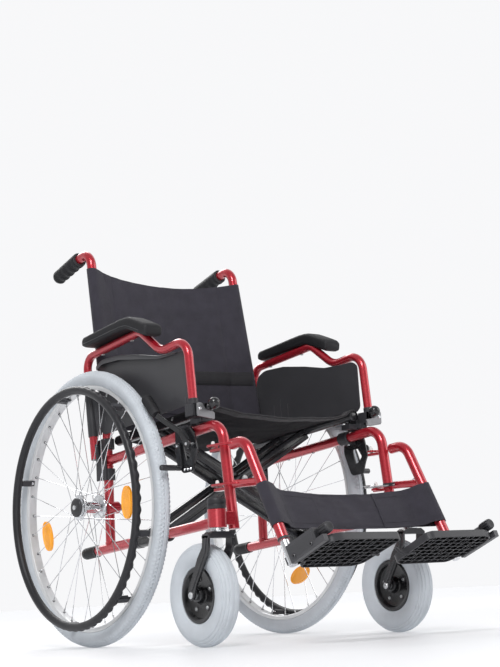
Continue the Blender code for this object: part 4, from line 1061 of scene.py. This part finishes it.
PLATE_OUTLINE = rounded_outline(FOOTPLATE, 0.008, 5)
PLATE_MIDDLE, PLATE_RIM = Vector((0.125, -0.022)), 0.0032
PLATE_INSIDE = [tuple(Vector(p) - (Vector(p) - PLATE_MIDDLE).normalized() * PLATE_RIM) for p in PLATE_OUTLINE]


def crossing(axis, at):
    """Lowest and highest point inside the footplate's rim, on the line where one coordinate is at."""
    other, found = 1 - axis, []
    for first, second in zip(PLATE_INSIDE, PLATE_INSIDE[1:] + PLATE_INSIDE[:1]):
        a, b = first[axis] - at, second[axis] - at
        if a * b <= 0 and a != b:
            found.append(first[other] + (second[other] - first[other]) * a / (a - b))
    return min(found) + 0.0008, max(found) - 0.0008


def footplate():
    """Footplate: a rim round a thin skin."""
    rings = [in_height(z, line)
             for z, line in ((-0.0118, PLATE_OUTLINE), (-0.0262, PLATE_OUTLINE),
                             (-0.0262, PLATE_INSIDE), (-0.0118, PLATE_INSIDE))]
    both("footplate_rim", "plate", GUARD, [placed(loft(rings, loop=True), foot_frame)], "footplate",
         bevel=0.001)
    skin = slab(PLATE_INSIDE, -0.0158, -0.0132, "xy")
    both("footplate_skin", "plate", RECESS_SHADE_PLASTIC, [placed(skin, foot_frame)])


def footplate_lattice():
    """Ribs across, along and aslant under the skin, their lower edges in the lighter plastic as a painted
    highlight.
    """
    half, ribs, edges = 0.0006, [], []

    def rib(strip, depth):
        ribs.append(placed(slab(strip, -depth, -0.015, "xy"), foot_frame))
        # A strip of the lighter plastic along each rib's lower edge: a painted highlight.
        edges.append(placed(slab(strip, -depth - 0.0006, -depth, "xy"), foot_frame))

    for k in range(1, 10):
        x = 0.035 + 0.018 * k
        low, high = crossing(0, x)
        rib([(x - half, low), (x + half, low), (x + half, high), (x - half, high)], 0.024)
    for k in range(1, 8):
        y = -0.086 + 0.016 * k
        low, high = crossing(1, y)
        rib([(low, y - half), (high, y - half), (high, y + half), (low, y + half)], 0.0246)
    slant = 0.024
    for k in range(5):
        x = 0.06 + 0.03 * k
        low, high = crossing(0, x)
        rib([(x - half, low + 0.004), (x + half, low + 0.004), (x + slant + half, high - 0.004),
             (x + slant - half, high - 0.004)], 0.0232)
    both("footplate_ribs", "plate", RECESS_SHADE_PLASTIC, ribs)
    both("footplate_rib_edge_highlight", "plate", GUARD, edges)


def footplate_fittings():
    """Tread ribs on top, the knuckle on the hinge pin, and the catch that meets the other plate."""
    tread = []
    for k in range(15):
        x = 0.052 + 0.0102 * k
        low, high = crossing(0, x)
        tread.append(placed(block((x - 0.0016, x + 0.0016), (low + 0.008, high - 0.008), (-0.0134, -0.0124)),
                            foot_frame))
    both("footplate_tread", "plate", NYLON, tread, bevel=0.0003)
    web = [block((0.2035, HINGE_X + 0.0025), (-0.0455, -0.0115), (-0.02, -0.001)),
           rod((HINGE_X, -0.046, 0), (HINGE_X, -0.011, 0), 0.0058, 28, lip=0.0006)]
    both("footplate_knuckle", "plate", GUARD, [placed(part, foot_frame) for part in web], bevel=0.0008)
    catch = rounded([(0.052, -0.012, -0.0236), (0.036, -0.01, -0.026), (0.029, -0.004, -0.018),
                     (0.029, 0.005, -0.006), (0.04, 0.009, -0.009)], 0.006, 5)
    both("footplate_catch", "plate", NYLON, [placed(swept(catch, 0.003, 14), foot_frame)])
    both("footplate_catch_rivet", "plate", NYLON,
         [placed(screw_head((0.056, -0.012, -0.025), -Z_AXIS, 0.0044, 0.002), foot_frame)])


# ---- cross brace ---------------------------------------------------------------------------------------
BAR_HALF = 0.0072


def brace_half(bar_offset, sign):
    """Sleeve on the bottom rail with the seat rail, and two grooved box bars; sign -1 mirrors them."""
    low = -FRAME_X
    rise = (SEAT_RAIL_X * BRACE_RISE / FRAME_X) + BRACE_RISE
    angle = math.atan2(BRACE_RISE, FRAME_X)
    length = math.hypot(SEAT_RAIL_X + FRAME_X, rise) - 0.002
    profile = [(TUBE + 0.0008, -0.06), (0.015, -0.06), (0.0165, -0.0585), (0.0165, -0.044), (0.0156, -0.043),
               (0.0156, 0.043), (0.0165, 0.044), (0.0165, 0.0585), (0.015, 0.06), (TUBE + 0.0008, 0.06)]
    parts = [turned(profile, (low, BRACE_V, 0), Y_AXIS, 36, ring=True),
             turned([(SEAT_RAIL - 0.003, 0), (SEAT_RAIL, 0.0015), (SEAT_RAIL, 0.3495),
                     (SEAT_RAIL - 0.003, 0.351)], (SEAT_RAIL_X, -0.385, SEAT_RAIL_W), Y_AXIS, 28)]
    bars = []
    for side in (-1, 1):
        middle = BRACE_V + side * bar_offset
        half, tall, groove = BAR_HALF, 0.013, 0.001
        shape = [(-half + 0.003, -tall), (half - 0.003, -tall), (half - 0.0008, -tall + 0.0009),
                 (half, -tall + 0.003), (half, -0.004), (half - groove, -0.0026), (half - groove, 0.0026),
                 (half, 0.004), (half, tall - 0.003), (half - 0.0008, tall - 0.0009), (half - 0.003, tall)]
        shape += [(-y, z) for y, z in shape[::-1] if (-y, z) != shape[0]]
        rings = [[Vector((x, middle + y, z)) for y, z in shape] for x in (0.014, length)]
        bars.append(placed(loft(rings), Matrix.Translation((low, 0, 0)) @ Matrix.Rotation(-angle, 4, "Y")))
    place = seat_frame @ Matrix.Scale(sign, 4, (1, 0, 0))
    return [placed(part, place) for part in parts], [placed(part, place) for part in bars]


def cross_brace():
    """The two halves of the scissor and the bolt and washers where they cross."""
    outside, between = 0.045, 0.029
    for name, body, offset, sign in (("a", "cross_a", outside, 1), ("b", "cross_b", between, -1)):
        round_parts, bars = brace_half(offset, sign)
        piece(f"brace_sleeve_and_rail_{name}", body, BLACK, round_parts, f"cross_brace_{name}")
        piece(f"brace_bars_{name}", body, BLACK, bars)
    end = outside + BAR_HALF + 0.0003
    profile = [(0.004, -end - 0.006), (0.0074, -end - 0.0056), (0.0085, -end - 0.0044),
               (0.0085, -end - 0.0004), (0.004, -end), (0.004, end), (0.0085, end + 0.0004),
               (0.0085, end + 0.0044), (0.0074, end + 0.0052), (0.004, end + 0.0056)]
    bolt = turned(profile, (0, BRACE_V, BRACE_RISE), Y_AXIS, 36)
    piece("scissor_bolt", "cross_a", ZINC, [placed(bolt, seat_frame)], "cross_bolt")
    spacers = [placed(rod((0, BRACE_V + side * 0.0366, BRACE_RISE), (0, BRACE_V + side * 0.0374, BRACE_RISE),
                          0.0085, 28, inner=0.0045), seat_frame) for side in (-1, 1)]
    piece("scissor_washers", "cross_a", NYLON, spacers)


# ---- fabric --------------------------------------------------------------------------------------------
def crease(x, y, scale, seed):
    """Smooth wrinkle noise between -1 and 1."""
    return noise.noise(Vector((x * scale, y * scale, seed)))


def arc(centre, radius, start, end, steps):
    """Points on an arc between two angles in degrees, both ends included."""
    turns = [math.radians(start + (end - start) * n / steps) for n in range(steps + 1)]
    return [(centre[0] + radius * math.cos(a), centre[1] + radius * math.sin(a)) for a in turns]


def spread(low, high, steps):
    """Even places from low to high, both ends included."""
    return [low + (high - low) * n / steps for n in range(steps + 1)]


def bowed(x, edge):
    """1 at the middle, falling along a parabola to 0 at the edges."""
    return max(0.0, 1 - (x / edge) ** 2)


def folding(softs):
    """Gives each of the pieces a mesh of its own."""
    for soft in softs:
        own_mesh(soft)


BACK_LOOP, BACK_CLOTH = TUBE + 0.0012, 0.0012


def cane_at(cane, z):
    """The point of the cane's middle line at a height."""
    for lower, upper in zip(cane, cane[1:]):
        if lower.z <= z <= upper.z:
            return lower.lerp(upper, (z - lower.z) / max(upper.z - lower.z, 1e-9))
    return cane[-1] if z > cane[-1].z else cane[0]


def back_face(x, z, edge, base):
    """How far back the sling's face is: bowed between the canes, creased beside its seams, wrinkled."""
    bow = bowed(x, edge)
    ease = min(1.0, (edge - abs(x)) / 0.05)
    y = base + 0.008 * ease * ease * (3 - 2 * ease) + 0.026 * bow
    near = max(0.0, 1 - abs(abs(x) - SEAM_X) / 0.008)
    fold = 0.003 * near + 0.0011 * crease(x * 3.0, z * 0.7, 14, 2) * (0.4 + 0.6 * (z - 0.48) / 0.372)
    broad = 0.0042 * crease(x, z * 0.55, 9, 5 if x > 0 else 8) * min(1.0, bow * 2.0)
    return y + fold + broad + 0.0011 * crease(x, z, 42, 11)


def back_cloth(cane):
    """One cloth whose sides loop round the canes and are sewn down, with its stitching."""
    rows, low_z, high_z = 64, 0.52, 0.856
    sections, seams = [], {-1: [], 1: []}
    for share in spread(0, 1, rows):
        flat_z = low_z + (high_z - low_z) * share
        cane_point = cane_at(cane, flat_z)
        cx, cy = cane_point.x, cane_point.y
        base = cy - BACK_LOOP

        def at(x, y):
            return Vector((x, y, flat_z - 0.02 * share ** 3 * bowed(x, 0.205)))

        half = [(x, back_face(x, flat_z, cx, base) + 0.0026 + max(0.0, x - 0.174) * 0.62)
                for x in (0.15, 0.162, 0.174, 0.186, 0.195)]
        half += arc((cx, cy), BACK_LOOP, 90, -90, 14)
        front = [at(x, back_face(x, flat_z, cx, base)) for x in spread(-cx, cx, 92)[1:-1]]
        sections.append([at(-x, y) for x, y in half] + front + [at(x, y) for x, y in half[::-1]])
        for sign in (-1, 1):
            x = sign * SEAM_X
            seams[sign].append(at(x, back_face(x, flat_z, cx, base) - BACK_CLOTH * 0.55))
    cloth = piece("back_sling_cloth", "side_r", CLOTH, [band(sections[::-1], BACK_CLOTH)], "back_sling",
                  smooth=80)
    sewn = []
    for sign in (-1, 1):
        for shift in (-0.003, 0.003):
            sewn += stitches([p + Vector((shift, -0.0002, 0)) for p in seams[sign]], -Y_AXIS)
    sewn += stitches([p + Vector((0, -BACK_CLOTH * 0.6, -0.014)) for p in sections[-1][24:-24]], -Y_AXIS)
    return [cloth, piece("back_sling_stitching", "side_r", THREAD, sewn, smooth=60)]


def back_hem(cane):
    """Bound hem of the back's pocket, low on its front, with its stitching."""
    low, high = 0.595, 0.6275

    def line(z, edge, lift, steps):
        cane_point = cane_at(cane, z)
        return [Vector((x, back_face(x, z, cane_point.x, cane_point.y - BACK_LOOP) - lift, z))
                for x in spread(-edge, edge, steps)]

    hem = [line(z, cane_at(cane, z).x - 0.002, 0.0022 if low < z < high else 0.0012, 80)
           for z in (low, low + 0.001, low + 0.016, high - 0.001, high)]
    binding = piece("back_sling_pocket_hem", "side_r", BINDING, [band(hem[::-1], 0.0012)], smooth=80)
    sewn = []
    for z in (low + 0.0045, high - 0.0045):
        sewn += stitches(line(z, 0.196, 0.0031, 60), -Y_AXIS)
    return [binding, piece("back_sling_hem_stitching", "side_r", THREAD, sewn, smooth=60)]


def back_flap(cane):
    """Loose lower edge of the back, hanging behind the seat."""
    flap = []
    for share in spread(0, 1, 17):
        z = 0.523 - 0.048 * share
        edge, base = 0.193 - 0.004 * share, cane_at(cane, z).y - BACK_LOOP
        flap.append([Vector((x, back_face(x, z, 0.214, base) + 0.0016 + 0.003 * share
                             + 0.0018 * crease(x, z, 16, 31), z)) for x in spread(-edge, edge, 70)])
    return [piece("back_sling_lower_flap", "side_r", CLOTH, [band(flap, 0.0012)], smooth=80)]


def back_sling(cane):
    folding(back_cloth(cane) + back_hem(cane) + back_flap(cane))


SEAT_LOOP, SEAT_EDGE = SEAT_RAIL + 0.0011, 0.186
SEAT_TOP = SEAT_RAIL_W + SEAT_LOOP * 0.86


def seat_dip(x, v):
    """How far the seat sags at x, a share v of the way back, with its wrinkles and pulls."""
    bow = max(0.0, 1 - (abs(x) / 0.187) ** 2)
    wave = 0.0042 * crease(x * 0.8, v * 0.35, 14, 3) + 0.0014 * crease(x, v * 0.3, 44, 7)
    pull = 0.002 * math.sin(v * 34 + 5 * crease(x, v, 5, 9)) * max(0.0, 1 - abs(abs(x) - 0.165) / 0.035)
    return -0.024 * bow ** 0.85 + (wave + pull) * min(1.0, 3.0 * bow)


def seat_point(x, v, w):
    """A point of the seat, whose front edge is bowed forward, in the seat's tilted frame."""
    lead = -0.386 - 0.022 * bowed(x, SEAT_EDGE)
    return Vector((x, lead + (-0.036 - lead) * v, w))


def seat_sling():
    """The seat: cloth sewn round both seat rails, sagging between them, its front edge hemmed."""
    cloth, rows, count = 0.0016, 56, 84
    wound = arc((SEAT_RAIL_X, SEAT_RAIL_W), SEAT_LOOP, -38, 90, 12)
    wound += [(SEAT_RAIL_X - 0.004, SEAT_RAIL_W + SEAT_LOOP * 0.97), (SEAT_RAIL_X - 0.008, SEAT_TOP)]
    sections = []
    for v in spread(0, 1, rows):
        middle = [(x, SEAT_TOP + seat_dip(x, v) - 0.004 * min(1.0, (0.188 - abs(x)) / 0.02))
                  for x in spread(-SEAT_EDGE, SEAT_EDGE, count)]
        profile = [(-x, w) for x, w in wound] + middle + wound[::-1]
        sections.append([seat_point(x, v, w) for x, w in profile])
    body = band([[seat_frame @ p for p in row] for row in sections], cloth)
    # The seat cloth uses the darker copy of the nylon, painted shade under the seat.
    made = piece("seat_sling_cloth", "cross_a", SHADED_SEAT_CLOTH, [body], "seat_sling", smooth=80)

    def front_rows(*places):
        return [[seat_frame @ seat_point(p.x, v, p.z + lift) for p in sections[0][10:-10]] for v,
                lift in places]

    hem = front_rows((-0.004, -0.0016), (-0.007, 0.0), (-0.004, 0.0018), (0.01, 0.0022), (0.062, 0.0018))
    under = front_rows((-0.004, -0.0013), (0.01, -0.0019), (0.06, -0.0017))
    binding = piece("seat_sling_hem", "cross_a", BINDING, [band(hem, 0.001), band(under, 0.001)], smooth=80)
    sewn = stitches([p + Z_AXIS * 0.0008 for p in hem[-1]], Z_AXIS)
    sewn += stitches([p - Z_AXIS * 0.0008 for p in under[-1]], -Z_AXIS)
    for sign in (-1, 1):
        rail = [seat_frame @ Vector((sign * (SEAT_RAIL_X - 0.0135), v,
                                     SEAT_RAIL_W + SEAT_LOOP * 0.8 - 0.0006))
                for v in spread(-0.38, -0.04, 40)]
        sewn += stitches(rail, Z_AXIS)
    folding([made, binding, piece("seat_sling_stitching", "cross_a", THREAD, sewn, smooth=60)])
    rivets = [placed(screw_head((SEAT_RAIL_X + SEAT_LOOP * 0.94, y, SEAT_RAIL_W + SEAT_LOOP * 0.3),
                                (0.94, 0, 0.3), 0.004, 0.0016), seat_frame)
              for y in (-0.35, -0.265, -0.18, -0.095)]
    piece("seat_sling_screws_l", "cross_a", ZINC, rivets)
    piece("seat_sling_screws_r", "cross_b", ZINC, rivets, sign=-1)


STRAP_HIGH, STRAP_LOW = shoe_end - leg * 0.125, shoe_end - leg * 0.034
BEHIND = Vector((0, -leg.z, leg.y))


def strap_gap(x, v):
    """How far behind the hangers' middle plane the strap runs, wrinkles included."""
    return (0.0125 + 0.013 * bowed(x, FRAME_X) + 0.0022 * crease(x, v * 0.12, 17, 4)
            + 0.001 * crease(x, v * 0.2, 45, 6))


def strap_point(x, v, gap):
    """A point of the strap, which sags a little at its top edge and rises at its bottom edge."""
    spot = STRAP_HIGH.lerp(STRAP_LOW, v)
    sag = bowed(x, FRAME_X) * (0.008 * (1 - v) - 0.0035 * v)
    return Vector((x, spot.y, spot.z)) + BEHIND * gap + leg * sag


def calf_strap():
    """Strap behind the calves: looped round both hanger tubes, its ends folded back and box-stitched."""
    cloth, rows = 0.0014, 20
    sections = []
    for v in spread(0, 1, rows):
        half = [(x, strap_gap(x, v) - 0.0022) for x in (0.079, 0.095, 0.115, 0.13, 0.145, 0.16)]
        half += [(0.176, strap_gap(0.176, v) - 0.0075), (0.192, -0.004)]
        half += arc((FRAME_X, 0), TUBE + 0.0013, -118, 90, 18)
        middle = [(x, strap_gap(x, v)) for x in spread(-FRAME_X, FRAME_X, 90)[1:-1]]
        profile = [(-x, gap) for x, gap in half] + middle + half[::-1]
        sections.append([strap_point(x, v, gap) for x, gap in profile])
    made = piece("calf_strap_cloth", "hanger_r", CLOTH, [band(sections, cloth)], "calf_strap", smooth=80)
    near, far, high, low = 0.084, 0.166, 0.14, 0.86

    def patch_point(x, v, sign):
        gap = strap_gap(x, v) - 0.0034 - max(0.0, x - 0.16) * 0.3
        return strap_point(x, v, gap) + X_AXIS * (sign * x - x)

    sewn = []
    for sign in (-1, 1):
        runs = [[patch_point(x, v, sign) for x in spread(near, far, 12)] for v in (high, low)]
        runs += [[patch_point(x, v, sign) for v in spread(high, low, 8)] for x in (near, far)]
        for run in runs:
            sewn += stitches(run, -BEHIND)
    for v in (0.055, 0.945):
        sewn += stitches([strap_point(x, v, strap_gap(x, v) - 0.001) for x in spread(-0.076, 0.076, 30)],
                         -BEHIND)
    folding([made, piece("calf_strap_stitching", "hanger_r", THREAD, sewn, smooth=60)])


# ---- floor, light and camera ---------------------------------------------------------------------------
def floor_plane():
    """Pale floor whose far part glows a little, so that it runs into the backdrop."""
    reach = 14.0
    mesh = bpy.data.meshes.new("floor")
    mesh.from_pydata([(-reach, -reach, 0), (reach, -reach, 0), (reach, reach, 0), (-reach, reach, 0)], [],
                     [(0, 1, 2, 3)])
    mesh.materials.append(FLOOR)
    floor = bpy.data.objects.new("floor", mesh)
    bpy.context.scene.collection.objects.link(floor)
    tree = FLOOR.node_tree
    far = node(tree, "ShaderNodeVectorMath", {"operation": "LENGTH"},
               i0=node(tree, "ShaderNodeTexCoord").outputs["Object"]).outputs["Value"]
    tree.links.new(mapped(tree, far, (1.2, 5.0), (0.24, 0.48), "SMOOTHSTEP"),
                   tree.nodes["Principled BSDF"].inputs["Emission Strength"])


def backdrop():
    """World light, brighter ahead of the camera than behind it."""
    world = bpy.data.worlds.new("studio")
    bpy.context.scene.world = world
    bpy.context.scene.view_settings.view_transform = "Standard"
    world.use_nodes = True
    tree = world.node_tree
    back = tree.nodes["Background"]
    back.inputs["Color"].default_value = (0.985, 0.987, 1.0, 1.0)
    facing = node(tree, "ShaderNodeVectorMath", {"operation": "DOT_PRODUCT"},
                  i0=node(tree, "ShaderNodeTexCoord").outputs["Generated"],
                  i1=(0.615, 0.788, 0.0)).outputs["Value"]
    tree.links.new(mapped(tree, facing, (-0.1, 0.75), (0.42, 0.95), "SMOOTHSTEP"), back.inputs["Strength"])


def lights():
    lamps = [("key", (-2.4, -2.2, 3.4), (0, 0, 0.4), 1.6, 110),
             ("fill", (3.2, -2.6, 2.2), (0, 0, 0.4), 2.6, 40),
             ("rim", (0.6, 3.0, 2.8), (0, 0, 0.5), 2.0, 55),
             ("low", (-2.6, -3.2, 0.5), (0, 0, 0.3), 1.6, 14)]
    for name, place, aim, size, power in lamps:
        lamp = bpy.data.lights.new(name, "AREA")
        lamp.size, lamp.energy = size, power
        made = bpy.data.objects.new(name, lamp)
        made.location = place
        made.rotation_euler = (Vector(aim) - Vector(place)).to_track_quat("-Z", "Y").to_euler()
        bpy.context.scene.collection.objects.link(made)


def camera():
    """Camera of the photograph's view: low, in front of the chair's right corner, rolled slightly."""
    yaw, pitch, roll = math.radians(37.96), math.radians(10.37), math.radians(-2.87)
    look = Vector((math.sin(yaw) * math.cos(pitch), math.cos(yaw) * math.cos(pitch), math.sin(pitch)))
    right = Vector((math.cos(yaw), -math.sin(yaw), 0))
    up = right.cross(look)
    rolled_right = right * math.cos(roll) + up * math.sin(roll)
    rolled_up = up * math.cos(roll) - right * math.sin(roll)
    lens = bpy.data.cameras.new("camera")
    lens.sensor_width, lens.lens = 36.0, 75.87
    lens.clip_start, lens.clip_end = 0.05, 60.0
    made = bpy.data.objects.new("camera", lens)
    turn = Matrix((rolled_right, rolled_up, -look)).transposed().to_4x4()
    made.matrix_world = Matrix.Translation((-1.88, -2.67 + AXLE_Y, 0.103)) @ turn
    bpy.context.scene.collection.objects.link(made)
    bpy.context.scene.camera = made


side_frame()
cane_line = back_cane()
push_grip()
rail_cap()
back_joint()
arm_socket()
rear_wheel()
caster_wheel()
caster_fork()
armrest_bow()
arm_pad()
side_panel()
armrest_knob()
brake_bracket()
brake_lever()
brake_shoe()
hanger()
release_lever()
foot_bracket()
foot_hinge()
footplate()
footplate_lattice()
footplate_fittings()
cross_brace()
back_sling(cane_line)
seat_sling()
calf_strap()
floor_plane()
backdrop()
lights()
camera()
